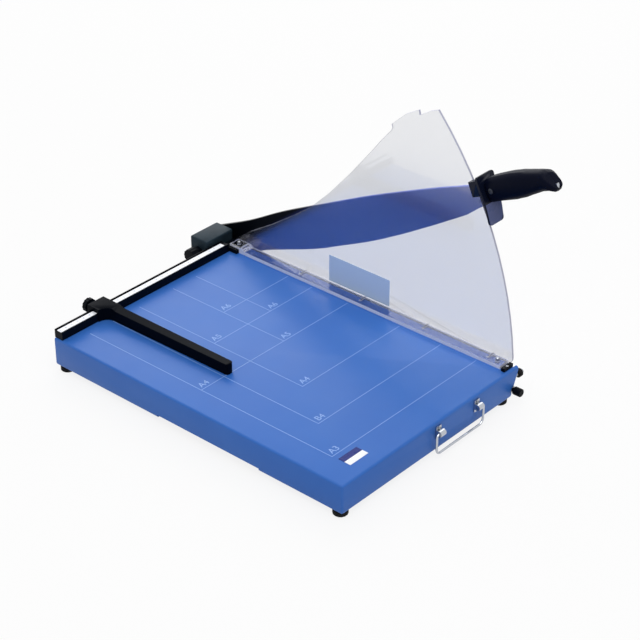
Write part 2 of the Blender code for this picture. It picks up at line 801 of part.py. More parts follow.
def make_bed_blade():
    section = [
        (-BED_THICKNESS, 0), (0, 0), (0, -BED_UPRIGHT), (side_line(BED_HEIGHT), -BED_HEIGHT),
        (-BED_THICKNESS, -BED_HEIGHT)]
    length = BED_FRONT + BED_REAR
    shape = moved(outline([section], length, "XZ"), (0, (BED_REAR - BED_FRONT) / 2, 0))
    blade = piece("bed_blade", shape, STEEL, ROOT, smooth=False)
    holes = bmesh.new()
    for along in bed_screw_places():
        start = (-BED_THICKNESS - OVERRUN, along, -BED_SCREW_DROP)
        rod(holes, "X", start, BED_THICKNESS + OVERRUN, SCREW_RADIUS + GAP)
    cut(blade, holes, "screw_holes")
    sinks = bmesh.new()
    wells = bmesh.new()
    face = side_line(BED_SCREW_DROP + BED_SCREW_HEAD) - GAP
    wide = BED_SCREW_HEAD + GAP
    for along in bed_screw_places():
        start = (face - BED_SCREW_SINK - GAP, along, -BED_SCREW_DROP)
        rod(sinks, "X", start, BED_SCREW_SINK + 2 * GAP, SCREW_RADIUS + GAP, wide)
        rod(wells, "X", (face, along, -BED_SCREW_DROP), OVERRUN - face, wide)
    cut(blade, sinks, "countersinks")
    cut(blade, wells, "screw_wells")
    corner = bmesh.new()
    start = (-BED_THICKNESS - OVERRUN, -BUMPER_Y, bumper_height())
    rod(corner, "X", start, BED_THICKNESS + 2 * OVERRUN, BUMPER_PIN_SHOULDER + GAP)
    cut(blade, corner, "bumper_pin_relief")

    screw = turned((
        (0, 0), (BED_SCREW_HEAD - GAP, 0), (SCREW_RADIUS, -BED_SCREW_SINK),
        (SCREW_RADIUS, -BED_SCREW_LENGTH), (0, -BED_SCREW_LENGTH)), SMALL_SIDES)
    places = [(face, along, -BED_SCREW_DROP) for along in bed_screw_places()]
    copies("bed_blade_screw", placed(screw, "X", (0, 0, 0)), places, SCREW_METAL, ROOT)


def make_feet():
    # Rubber feet with a push-in stem, whose barb grips the flange or the beam above.
    top = -TABLE_HEIGHT - GAP
    for name, (across, along) in foot_places().items():
        stack = SHEET if name.endswith("left") else SHEET + GAP + BEAM_WALL
        barb = stack + 3 * GAP
        profile = (
            (0, barb + FOOT_BARB_HEIGHT), (FOOT_STEM_RADIUS, barb + FOOT_BARB_HEIGHT),
            (FOOT_BARB_RADIUS, barb), (FOOT_STEM_RADIUS, barb), (FOOT_STEM_RADIUS, 0),
            (FOOT_RADIUS - FOOT_CHAMFER, 0), (FOOT_RADIUS, -FOOT_CHAMFER),
            (FOOT_RADIUS, FOOT_CHAMFER - FOOT_HEIGHT), (FOOT_RADIUS - FOOT_CHAMFER, -FOOT_HEIGHT),
            (0, -FOOT_HEIGHT))
        piece("foot_" + name, placed(turned(profile, FOOT_SIDES), "Z", (across, along, top)), RUBBER, ROOT)


# Rail and its scale

def make_rail():
    top = RAIL_HEIGHT
    scale_rear = SCALE_FRONT + SCALE_WIDTH
    groove_rear = RAIL_DEPTH - GROOVE_REAR
    section = [
        (0, GAP), (RAIL_DEPTH, GAP), (RAIL_DEPTH, top), (groove_rear, top),
        (groove_rear, top - GROOVE_DEPTH), (groove_rear - GROOVE_WIDTH, top - GROOVE_DEPTH),
        (groove_rear - GROOVE_WIDTH, top), (scale_rear, top), (scale_rear, top - SCALE_THICKNESS - GAP),
        (SCALE_FRONT, top - SCALE_THICKNESS - GAP), (SCALE_FRONT, top), (0, top)]
    length = RAIL_LEFT - RAIL_RIGHT
    shape = moved(outline([section], length, "YZ"), (-(RAIL_LEFT + RAIL_RIGHT) / 2, 0, 0))
    rail = piece("rail", shape, BLACK_METAL, ROOT, smooth=False)
    holes = bmesh.new()
    for across, along in rail_screw_places():
        rod(holes, "Z", (across, along, -OVERRUN), SCREW_GRIP + 2 * OVERRUN, SCREW_RADIUS + GAP)
    cut(rail, holes, "screw_holes")

    strip = bmesh.new()
    low = (GAP - RAIL_LEFT, SCALE_FRONT + GAP, top - SCALE_THICKNESS)
    high = (-RAIL_RIGHT - SCALE_END, scale_rear - GAP, top)
    piece("rail_scale", box(strip, low, high), WHITE_PLASTIC, ROOT, smooth=False)

    seat = -SHEET - GAP
    screw = screw_shape(SCREW_RADIUS, SHEET + 2 * GAP + SCREW_GRIP, SCREW_HEAD, SCREW_HEAD_HEIGHT)
    screw.transform(Matrix.Rotation(math.radians(180), 4, "X"))
    copies("rail_screw", screw, [(*place, seat) for place in rail_screw_places()], SCREW_METAL, ROOT)


# Pivot housing, shaft and spring

def make_housing():
    near = TABLE_REAR + GAP
    far = near + HOUSING_DEPTH
    shape = bmesh.new()
    box(shape, (-HOUSING_LEFT, near, -HOUSING_DROP), (-HOUSING_RIGHT, far, HOUSING_TOP))
    upright = [
        edge for edge in shape.edges
        if max(abs(vertex.co.z - HOUSING_TOP) for vertex in edge.verts) < GAP
        or abs(edge.verts[0].co.z - edge.verts[1].co.z) > HOUSING_TOP]
    bmesh.ops.bevel(
        shape, geom=upright, offset=HOUSING_ROUND, offset_type="OFFSET", segments=2, profile=0.5,
        affect="EDGES", clamp_overlap=True, material=-1)
    housing = piece("pivot_housing", shape, CASTING, ROOT)

    cavity = bmesh.new()
    box(
        cavity, (CAVITY_SIDE_WALL - HOUSING_LEFT, near + CAVITY_FRONT_WALL, -HOUSING_DROP - OVERRUN),
        (-HOUSING_RIGHT - CAVITY_SIDE_WALL, far - CAVITY_FRONT_WALL, HOUSING_TOP - CAVITY_TOP_WALL))
    cut(housing, cavity, "cavity")
    bores = bmesh.new()
    outer = BUSH_RADIUS + GAP
    left_wall = CAVITY_SIDE_WALL - HOUSING_LEFT
    right_wall = -HOUSING_RIGHT - CAVITY_SIDE_WALL
    rod(bores, "X", (left_wall - BLIND_BORE, PIVOT_Y, -PIVOT_DROP), BLIND_BORE + OVERRUN, outer, sides=SIDES)
    rod(
        bores, "X", (right_wall - OVERRUN, PIVOT_Y, -PIVOT_DROP), CAVITY_SIDE_WALL + 2 * OVERRUN,
        outer, sides=SIDES)
    knob_height = SPRING_KNOB_RISE - PIVOT_DROP
    rod(
        bores, "X", (-HOUSING_LEFT - OVERRUN, PIVOT_Y, knob_height), CAVITY_SIDE_WALL + 2 * OVERRUN,
        SPINDLE_RADIUS + GAP)
    cut(housing, bores, "bores")
    holes = bmesh.new()
    for across, up in housing_screw_places():
        rod(holes, "Y", (across, near - OVERRUN, up), OVERRUN + SCREW_GRIP + GAP, SCREW_RADIUS + GAP)
    cut(housing, holes, "screw_holes")

    head_seat = TABLE_REAR - SHEET - GAP
    reach = SHEET + 2 * GAP + SCREW_GRIP - GAP
    screw = screw_shape(SCREW_RADIUS, reach, SCREW_HEAD, SCREW_HEAD_HEIGHT)
    screw.transform(Matrix.Rotation(math.radians(90), 4, "X"))
    places = [(across, head_seat, up) for across, up in housing_screw_places()]
    copies("housing_screw", screw, places, SCREW_METAL, ROOT)

    inner = SHAFT_RADIUS + GAP
    length = CAVITY_SIDE_WALL - GAP
    profile = (
        (inner, BUSH_FLANGE_THICKNESS), (BUSH_FLANGE, BUSH_FLANGE_THICKNESS), (BUSH_FLANGE, 0),
        (BUSH_RADIUS, 0), (BUSH_RADIUS, -length), (inner, -length))
    right_bush = turned(profile, closed=True)
    right_bush.transform(Matrix.Rotation(math.radians(180), 4, "X"))
    placed(right_bush, "X", (right_wall - GAP, PIVOT_Y, -PIVOT_DROP))
    short = BLIND_BORE - GAP
    profile = (
        (inner, BUSH_FLANGE_THICKNESS), (BUSH_FLANGE, BUSH_FLANGE_THICKNESS), (BUSH_FLANGE, 0),
        (BUSH_RADIUS, 0), (BUSH_RADIUS, -short), (inner, -short))
    left_bush = placed(turned(profile, closed=True), "X", (left_wall + GAP, PIVOT_Y, -PIVOT_DROP))
    piece("pivot_bush_left", left_bush, BRONZE, ROOT)
    piece("pivot_bush_right", right_bush, BRONZE, ROOT)


def make_shaft():
    start = CAVITY_SIDE_WALL - HOUSING_LEFT - BLIND_BORE + GAP
    collar = -HOUSING_RIGHT + GAP
    blade = BLADE_SIDE - GAP
    nut = BLADE_SIDE + BLADE_THICKNESS + WASHER_THICKNESS + 2 * GAP
    end = nut + NUT_HEIGHT + THREAD_END
    profile = (
        (0, end), (SHAFT_THREAD - GAP, end), (SHAFT_THREAD, end - GAP), (SHAFT_THREAD, blade),
        (SHAFT_COLLAR, blade), (SHAFT_COLLAR, collar), (SHAFT_RADIUS, collar), (SHAFT_RADIUS, start),
        (0, start))
    piece("pivot_shaft", placed(turned(profile), "X", (0, 0, 0)), STEEL, BLADE_JOINT)

    inner = SHAFT_THREAD + GAP
    ring = (
        (inner, WASHER_THICKNESS), (WASHER_RADIUS, WASHER_THICKNESS), (WASHER_RADIUS, 0), (inner, 0))
    seat = BLADE_SIDE + BLADE_THICKNESS + GAP
    piece("pivot_washer", placed(turned(ring, closed=True), "X", (seat, 0, 0)), STEEL, BLADE_JOINT)
    hexagon = bmesh.new()
    rod(hexagon, "X", (nut + GAP, 0, 0), NUT_HEIGHT, NUT_RADIUS, sides=6)
    nut_piece = piece("pivot_nut", hexagon, SCREW_METAL, BLADE_JOINT, smooth=False)
    bore = bmesh.new()
    rod(bore, "X", (nut - OVERRUN, 0, 0), NUT_HEIGHT + 2 * OVERRUN, inner, sides=SIDES)
    cut(nut_piece, bore, "thread")


def make_spring():
    count = SPRING_TURNS * SPRING_TURN_POINTS
    length = SPRING_TURNS * SPRING_PITCH
    start = CAVITY_SIDE_WALL - HOUSING_LEFT + GAP + CAM_WIDTH / 2
    points = [(start, PIVOT_Y + SPRING_RADIUS, SPRING_LEG - PIVOT_DROP)]
    for step in range(count + 1):
        angle = 2 * math.pi * step / SPRING_TURN_POINTS
        points.append((
            start + length * step / count, PIVOT_Y + SPRING_RADIUS * math.cos(angle),
            -PIVOT_DROP - SPRING_RADIUS * math.sin(angle)))
    points.append((start + length, PIVOT_Y + SPRING_RADIUS, -HOUSING_DROP + OVERRUN))
    spring = piece("return_spring", wire_path(points, SPRING_WIRE, 1), STEEL, ROOT)
    least = SPRING_PITCH - 2 * SPRING_WIRE
    print("return_spring least gap between turns, mm:", round(least * 1000, 2))
    return spring


def knob_outline(radius):
    count = 4 * KNOB_LOBES
    points = []
    for step in range(count):
        angle = 2 * math.pi * step / count
        reach = radius - KNOB_LOBE_DEPTH * (1 - math.cos(KNOB_LOBES * angle))
        points.append((reach * math.cos(angle), reach * math.sin(angle)))
    return points


def make_spring_knob():
    face = -HOUSING_LEFT - GAP
    stub = face - SPRING_STUB_LENGTH
    inside = CAVITY_SIDE_WALL - HOUSING_LEFT + GAP
    shape = outline([knob_outline(SPRING_KNOB_RADIUS)], SPRING_KNOB_WIDTH, "YZ")
    knob = piece("spring_knob", moved(shape, (stub - SPRING_KNOB_WIDTH / 2, 0, 0)), BLACK_PLASTIC,
        SPRING_JOINT)
    end = inside + CAM_WIDTH
    profile = (
        (0, end), (SPINDLE_RADIUS, end), (SPINDLE_RADIUS, face), (SPRING_STUB_RADIUS, face),
        (SPRING_STUB_RADIUS, stub - OVERRUN), (0, stub - OVERRUN))
    join(knob, placed(turned(profile), "X", (0, 0, 0)), "spindle")
    cam_shape = bmesh.new()
    rod(cam_shape, "X", (inside, CAM_OFFSET, 0), CAM_WIDTH, CAM_RADIUS, sides=SIDES)
    cam = piece("spring_cam", cam_shape, STEEL, SPRING_JOINT)
    bore = bmesh.new()
    rod(bore, "X", (inside - OVERRUN, 0, 0), CAM_WIDTH + 2 * OVERRUN, SPINDLE_RADIUS + GAP)
    cut(cam, bore, "spindle_bore")


# Blade, hand shield and grip, in the closed pose about the pivot

def ahead(across, forward, up):
    # A point of the blade arm: forward is measured from the pivot towards the user.
    return (across, -forward, up)


def blade_ring(forward, low, high, bevel):
    left = BLADE_SIDE
    right = BLADE_SIDE + BLADE_THICKNESS
    edge = left + BLADE_HEEL if bevel > 0 else right
    return [
        ahead(left, forward, low), ahead(left, forward, high), ahead(right, forward, high),
        ahead(right, forward, low + max(bevel, GAP)), ahead(edge, forward, low)]


def make_blade():
    rings = []
    hub_steps = 7
    for step in range(1, hub_steps + 1):
        angle = math.pi / 2 * step / hub_steps
        forward = -HUB_RADIUS * math.cos(angle)
        rings.append(blade_ring(forward, -HUB_RADIUS * math.sin(angle), HUB_TOP * math.sin(angle), 0))
    first = BLADE_LENGTH * LOWER_EDGE_SHARES[0][0]
    for step in range(BLADE_STATIONS + 1):
        forward = first + (BLADE_LENGTH - first) * step / BLADE_STATIONS
        low = through(LOWER_EDGE_SHARES, BLADE_LENGTH, BLADE_WIDTH, forward)
        high = through(UPPER_EDGE_SHARES, BLADE_LENGTH, BLADE_WIDTH, forward)
        bevel = BLADE_BEVEL if forward > EDGE_START - GAP else 0
        rings.append(blade_ring(forward, low, high, bevel))
    shoulder = BLADE_LENGTH + GAP
    rings.append(blade_ring(shoulder, TANG_LOW, TANG_HIGH, 0))
    rings.append(blade_ring(TANG_END, TANG_LOW, TANG_HIGH, 0))
    rings.append(blade_ring(TANG_END + GAP, TANG_TAIL_LOW, TANG_TAIL_HIGH, 0))
    rings.append(blade_ring(TANG_TAIL_END, TANG_TAIL_LOW, TANG_TAIL_HIGH, 0))
    blade = piece("blade", loft(rings), BLADE_STEEL, BLADE_JOINT)
    bore = bmesh.new()
    rod(bore, "X", (BLADE_SIDE - OVERRUN, 0, 0), BLADE_THICKNESS + 2 * OVERRUN, SHAFT_THREAD + GAP,
        sides=SIDES)
    for forward in grip_screw_places():
        start = ahead(BLADE_SIDE - OVERRUN, forward, grip_middle(forward))
        rod(bore, "X", start, BLADE_THICKNESS + 2 * OVERRUN, GRIP_SCREW_RADIUS + GAP)
    cut(blade, bore, "bores")


def shield_bend(across, up):
    # The plate leans forward below the hand and its right-hand edge turns towards the grip.
    share = (SHIELD_HIGH - up) / (SHIELD_HIGH + SHIELD_LOW)
    lean = SHIELD_SWEEP * math.sin(math.pi * share) ** 2 * share
    past = max(across - SHIELD_RIGHT + SHIELD_TAPER * share + SHIELD_LIP_WIDTH, 0) / SHIELD_LIP_WIDTH
    return lean + SHIELD_LIP * past ** 2


def make_hand_shield():
    shape = bmesh.new()
    bmesh.ops.create_grid(shape, x_segments=SHIELD_CELLS, y_segments=SHIELD_CELLS, size=0.5)
    height = SHIELD_LOW + SHIELD_HIGH
    for vertex in shape.verts:
        width = SHIELD_LEFT + SHIELD_RIGHT - SHIELD_TAPER * (0.5 - vertex.co.y)
        across = (vertex.co.x + 0.5) * width - SHIELD_LEFT
        up = (vertex.co.y + 0.5) * height - SHIELD_LOW
        vertex.co = ahead(across, 0, up)
    corners = [vertex for vertex in shape.verts if len(vertex.link_edges) == 2]
    bmesh.ops.bevel(
        shape, geom=corners, offset=SHIELD_CORNER / 2, offset_type="OFFSET", segments=3, profile=0.5,
        affect="VERTICES", clamp_overlap=True, material=-1)
    for vertex in shape.verts:
        vertex.co.y = -SHIELD_START - shield_bend(vertex.co.x, vertex.co.z)
    bmesh.ops.recalc_face_normals(shape, faces=shape.faces)
    shield = piece("hand_shield", shape, SHIELD_PLASTIC, BLADE_JOINT)
    wall = shield.modifiers.new("plate", "SOLIDIFY")
    wall.thickness = SHIELD_THICKNESS
    wall.offset = 1 if shape_faces_forward(shield) else -1

    collar = bmesh.new()
    plate = SHIELD_START + SHIELD_THICKNESS / 2
    box(collar, ahead(-COLLAR_LEFT, plate, COLLAR_LOW), ahead(COLLAR_RIGHT, COLLAR_START, COLLAR_HIGH))
    join(shield, collar, "collar")
    lug = bmesh.new()
    right = STOP_LUG_LEFT + STOP_LUG_WIDTH
    box(lug, ahead(STOP_LUG_LEFT, plate + SHIELD_SWEEP / 2, STOP_LUG_LOW),
        ahead(right, STOP_LUG_START, COLLAR_HIGH))
    join(shield, lug, "stop_lug")

    slot = bmesh.new()
    start = COLLAR_START - OVERRUN
    box(
        slot, ahead(-COLLAR_SLOT, COLLAR_INNER, COLLAR_LOW - OVERRUN),
        ahead(BLADE_SIDE + BLADE_THICKNESS + GAP, start, COLLAR_HIGH + OVERRUN))
    cut(shield, slot, "guard_slot")
    pocket = bmesh.new()
    box(
        pocket, ahead(BLADE_SIDE - GAP, BLADE_LENGTH + 2 * GAP, COLLAR_FOOT - OVERRUN),
        ahead(BLADE_SIDE + BLADE_THICKNESS + GAP, start, COLLAR_HIGH + OVERRUN))
    cut(shield, pocket, "blade_pocket")
    tang = bmesh.new()
    box(
        tang,
        ahead(BLADE_SIDE - GAP, SHIELD_START + SHIELD_THICKNESS + SHIELD_SWEEP + OVERRUN, TANG_LOW - GAP),
        ahead(BLADE_SIDE + BLADE_THICKNESS + GAP, start, TANG_HIGH + GAP))
    cut(shield, tang, "tang_slot")


def shape_faces_forward(item):
    return item.data.polygons[0].normal.y < 0


def grip_shares(share):
    for near, far in zip(GRIP_PROFILE_SHARES, GRIP_PROFILE_SHARES[1:]):
        if share <= far[0]:
            part = (share - near[0]) / (far[0] - near[0])
            part = part * part * (3 - 2 * part)
            return [start + (end - start) * part for start, end in zip(near[1:], far[1:])]
    return GRIP_PROFILE_SHARES[-1][1:]


def grip_middle(forward):
    share = min(max((forward - GRIP_START) / GRIP_LENGTH, 0), 1)
    return GRIP_MIDDLE + grip_shares(share)[2] * GRIP_HALF_HEIGHT


def grip_screw_places():
    return [GRIP_START + GRIP_SCREW_FRONT, GRIP_START + GRIP_SCREW_REAR]


def grip_ring(forward, tall, wide, middle, rake):
    centre = BLADE_SIDE + BLADE_THICKNESS / 2
    ring = []
    for step in range(GRIP_SIDES):
        angle = 2 * math.pi * (step + 0.5) / GRIP_SIDES
        power = 2 / GRIP_SQUARENESS
        across = math.copysign(abs(math.cos(angle)) ** power, math.cos(angle)) * wide
        up = math.copysign(abs(math.sin(angle)) ** power, math.sin(angle)) * tall
        ring.append(ahead(centre + across, forward - rake * up / tall, middle + up))
    return ring


def grip_body():
    rings = []
    for step in range(GRIP_STATIONS + 1):
        share = step / GRIP_STATIONS
        tall, wide, rise = grip_shares(share)
        forward = GRIP_START + (GRIP_LENGTH - GRIP_END_STEP) * share
        rake = GRIP_RAKE * max(share - GRIP_RAKE_START, 0) / (1 - GRIP_RAKE_START)
        rings.append(grip_ring(
            forward, tall * GRIP_HALF_HEIGHT, wide * GRIP_HALF_WIDTH, GRIP_MIDDLE + rise * GRIP_HALF_HEIGHT,
            rake))
    tall, wide, rise = grip_shares(1)
    shrink = GRIP_END_STEP
    rings.append(grip_ring(
        GRIP_START + GRIP_LENGTH, tall * GRIP_HALF_HEIGHT - shrink, wide * GRIP_HALF_WIDTH - shrink,
        GRIP_MIDDLE + rise * GRIP_HALF_HEIGHT, GRIP_RAKE))
    return loft(rings)


def make_grip():
    centre = BLADE_SIDE + BLADE_THICKNESS / 2
    for name, side in (("grip_left", -1), ("grip_right", 1)):
        shape = grip_body()
        bmesh.ops.bisect_plane(
            shape, geom=shape.verts[:] + shape.edges[:] + shape.faces[:], dist=CLOSE_POINTS,
            plane_co=(centre + side * GAP / 2, 0, 0), plane_no=(-side, 0, 0), clear_outer=True)
        rim = [edge for edge in shape.edges if edge.is_boundary]
        bmesh.ops.holes_fill(shape, edges=rim, sides=0)
        bmesh.ops.recalc_face_normals(shape, faces=shape.faces)
        half = piece(name, shape, GRIP_PLASTIC, BLADE_JOINT)
        pocket = bmesh.new()
        box(
            pocket, ahead(BLADE_SIDE - GAP, TANG_END + GAP, TANG_LOW - GAP),
            ahead(BLADE_SIDE + BLADE_THICKNESS + GAP, GRIP_START - OVERRUN, TANG_HIGH + GAP))
        cut(half, pocket, "tang_pocket")
        tail = bmesh.new()
        box(
            tail, ahead(BLADE_SIDE - GAP, TANG_TAIL_END + GRIP_RAKE, TANG_TAIL_LOW - GAP),
            ahead(BLADE_SIDE + BLADE_THICKNESS + GAP, TANG_END, TANG_TAIL_HIGH + GAP))
        cut(half, tail, "tail_slot")
        bores = bmesh.new()
        sinks = bmesh.new()
        for forward, head_side in zip(grip_screw_places(), GRIP_SCREW_SIDES):
            up = grip_middle(forward)
            share = (forward - GRIP_START) / GRIP_LENGTH
            reach = grip_shares(share)[1] * GRIP_HALF_WIDTH
            rod(
                bores, "X", ahead(centre - reach - OVERRUN, forward, up), 2 * reach + 2 * OVERRUN,
                GRIP_SCREW_RADIUS + GAP)
            if side == head_side:
                seat = reach - GRIP_SCREW_SINK - GAP
                start = min(side * seat, side * (seat + GRIP_HALF_WIDTH))
                rod(sinks, "X", ahead(centre + start, forward, up), GRIP_HALF_WIDTH, GRIP_SCREW_HEAD + GAP)
        cut(half, bores, "screw_bores")
        cut(half, sinks, "screw_seats")

    names = ("grip_screw_front", "grip_screw_rear")
    for name, forward, side in zip(names, grip_screw_places(), GRIP_SCREW_SIDES):
        share = (forward - GRIP_START) / GRIP_LENGTH
        reach = grip_shares(share)[1] * GRIP_HALF_WIDTH
        length = 2 * reach - GRIP_SCREW_SINK - OVERRUN
        shape = screw_shape(GRIP_SCREW_RADIUS, length, GRIP_SCREW_HEAD, GRIP_SCREW_SINK)
        if side < 0:
            shape.transform(Matrix.Rotation(math.radians(180), 4, "X"))
        place = ahead(centre + side * (reach - GRIP_SCREW_SINK), forward, grip_middle(forward))
        piece(name, placed(shape, "X", place), SCREW_METAL, BLADE_JOINT)


# Clamp strip, guard and what guides them

def guard_screw_places():
    return [-GUARD_SCREW_FIRST - GUARD_SCREW_PITCH * index for index in range(GUARD_SCREW_COUNT)]


def guard_screw_height():
    return STRIP_LIFT + STRIP_THICKNESS / 2


def make_clamp_strip():
    low = STRIP_LIFT
    high = low + STRIP_THICKNESS
    tab_low = REAR_BLOCK_HEIGHT + GAP
    tab_high = tab_low + TAB_THICKNESS
    side = [
        (-STRIP_FRONT, low), (-STRIP_REAR, low), (-STRIP_REAR, tab_low), (TAB_REAR, tab_low),
        (TAB_REAR, tab_high), (-TAB_FRONT, tab_high), (-TAB_FRONT - TAB_SLOPE, high), (-STRIP_FRONT, high)]
    width = STRIP_LEFT - STRIP_RIGHT
    shape = moved(outline([side], width, "YZ"), (-(STRIP_LEFT + STRIP_RIGHT) / 2, 0, 0))
    strip = piece("clamp_strip", shape, CLEAR_PLASTIC, CLAMP_JOINT, smooth=False)
    bores = bmesh.new()
    for across, along in guide_places():
        rod(bores, "Z", (across, along, -OVERRUN), tab_high + 2 * OVERRUN, GUIDE_RADIUS + GAP)
    for along in guard_screw_places():
        start = (-STRIP_RIGHT - GUARD_SCREW_LENGTH, along, guard_screw_height())
        rod(bores, "X", start, GUARD_SCREW_LENGTH + OVERRUN, GUARD_SCREW_RADIUS + GAP)
    cut(strip, bores, "bores")


def guard_outline():
    low = STRIP_LIFT
    centre = (GUARD_ARC_Y, -GUARD_ARC_DROP)
    top_angle = math.pi - math.asin((GUARD_HIGH + GUARD_ARC_DROP) / GUARD_ARC_RADIUS)
    low_angle = math.pi - math.asin((low + GUARD_CORNER + GUARD_ARC_DROP) / GUARD_ARC_RADIUS)
    front = arc(centre, GUARD_ARC_RADIUS, top_angle, low_angle, GUARD_ARC_POINTS)
    shares = GUARD_SLOPE_SHARES + GUARD_EAR_SHARES
    length = (GUARD_REAR - front[0][0]) / shares[-1][0]
    slope = [(GUARD_REAR - along * length, up * GUARD_HIGH) for along, up in shares]
    corner_x = front[-1][0]
    corner = [
        (corner_x + GUARD_CORNER * share, low + GUARD_CORNER * rise) for share, rise in GUARD_CORNER_SHARES]
    return [(GUARD_REAR, low)] + slope + front + corner


def make_guard():
    middle = GUARD_THICKNESS / 2 - GUARD_LEFT
    shape = moved(outline([guard_outline()], GUARD_THICKNESS, "YZ"), (middle, 0, 0))
    guard = piece("guard", shape, CLEAR_PLASTIC, CLAMP_JOINT, smooth=False)
    head = GUARD_THICKNESS / 2
    holes = bmesh.new()
    sinks = bmesh.new()
    for along in guard_screw_places():
        start = (-GUARD_LEFT - OVERRUN, along, guard_screw_height())
        rod(holes, "X", start, GUARD_THICKNESS + 2 * OVERRUN, GUARD_SCREW_RADIUS + GAP)
    cut(guard, holes, "screw_holes")
    for along in guard_screw_places():
        start = (-GUARD_LEFT + head, along, guard_screw_height())
        rod(sinks, "X", start, head + OVERRUN, GUARD_SCREW_HEAD / 2 + GUARD_SCREW_RADIUS / 2 + GAP)
    cut(guard, sinks, "screw_seats")
    radius = GUARD_SCREW_HEAD / 2 + GUARD_SCREW_RADIUS / 2
    length = GUARD_SCREW_LENGTH + head - GAP
    screw = screw_shape(GUARD_SCREW_RADIUS, length, radius, head - 2 * GAP, 0.1)
    places = [(-GUARD_LEFT + head + GAP, along, guard_screw_height()) for along in guard_screw_places()]
    copies("guard_screw", placed(screw, "X", (0, 0, 0)), places, SCREW_METAL, CLAMP_JOINT)


def make_end_blocks():
    rear = bmesh.new()
    box(
        rear, (-REAR_BLOCK_LEFT, -REAR_BLOCK_HALF, GAP),
        (-REAR_BLOCK_RIGHT, REAR_BLOCK_HALF, REAR_BLOCK_HEIGHT))
    rear_block = piece("rear_end_block", rear, BLACK_PLASTIC, ROOT, smooth=False)
    front = bmesh.new()
    box(
        front, (-FRONT_BLOCK_LEFT, -FRONT_BLOCK_NEAR, GAP),
        (-REAR_BLOCK_RIGHT, -FRONT_BLOCK_FAR, FRONT_BLOCK_HEIGHT))
    front_block = piece("front_end_block", front, BLACK_PLASTIC, ROOT, smooth=False)
    blocks = {
        "front": (front_block, FRONT_BLOCK_HEIGHT), "rear": (rear_block, REAR_BLOCK_HEIGHT)}
    for name, (block, top) in blocks.items():
        holes = bmesh.new()
        seats = bmesh.new()
        floor = top - BLOCK_SCREW_HEAD_HEIGHT
        for across, along in block_screw_places()[name]:
            rod(holes, "Z", (across, along, -OVERRUN), top + 2 * OVERRUN, BLOCK_SCREW_RADIUS + GAP)
            rod(seats, "Z", (across, along, floor - GAP), BLOCK_SCREW_HEAD_HEIGHT + OVERRUN,
                BLOCK_SCREW_HEAD + GAP)
            screw = screw_shape(BLOCK_SCREW_RADIUS, BLOCK_SCREW_LENGTH, BLOCK_SCREW_HEAD,
                BLOCK_SCREW_HEAD_HEIGHT - GAP)
            piece(name + "_block_screw", placed(screw, "Z", (across, along, floor)), SCREW_METAL, ROOT)
        if name == "rear":
            place = (-GUIDE_X, -GUIDE_REAR_Y, -OVERRUN)
            rod(holes, "Z", place, top + 2 * OVERRUN, GUIDE_RADIUS + GAP)
        cut(block, holes, "holes")
        cut(block, seats, "screw_seats")

    tops = (
        REAR_BLOCK_HEIGHT + GAP + TAB_THICKNESS + CLAMP_TRAVEL, STRIP_LIFT + STRIP_THICKNESS + CLAMP_TRAVEL)
    for name, (across, along), top in zip(("guide_pin_rear", "guide_pin_front"), guide_places(), tops):
        height = top + GUIDE_PROUD
        profile = (
            (0, height), (GUIDE_RADIUS - GUIDE_PROUD, height), (GUIDE_RADIUS, height - GUIDE_PROUD),
            (GUIDE_RADIUS, -GUIDE_DEPTH), (0, -GUIDE_DEPTH))
        piece(name, placed(turned(profile, SMALL_SIDES), "Z", (across, along, 0)), BLACK_METAL, ROOT)


# Sliding stop, in the frame of its slide at the middle of its head

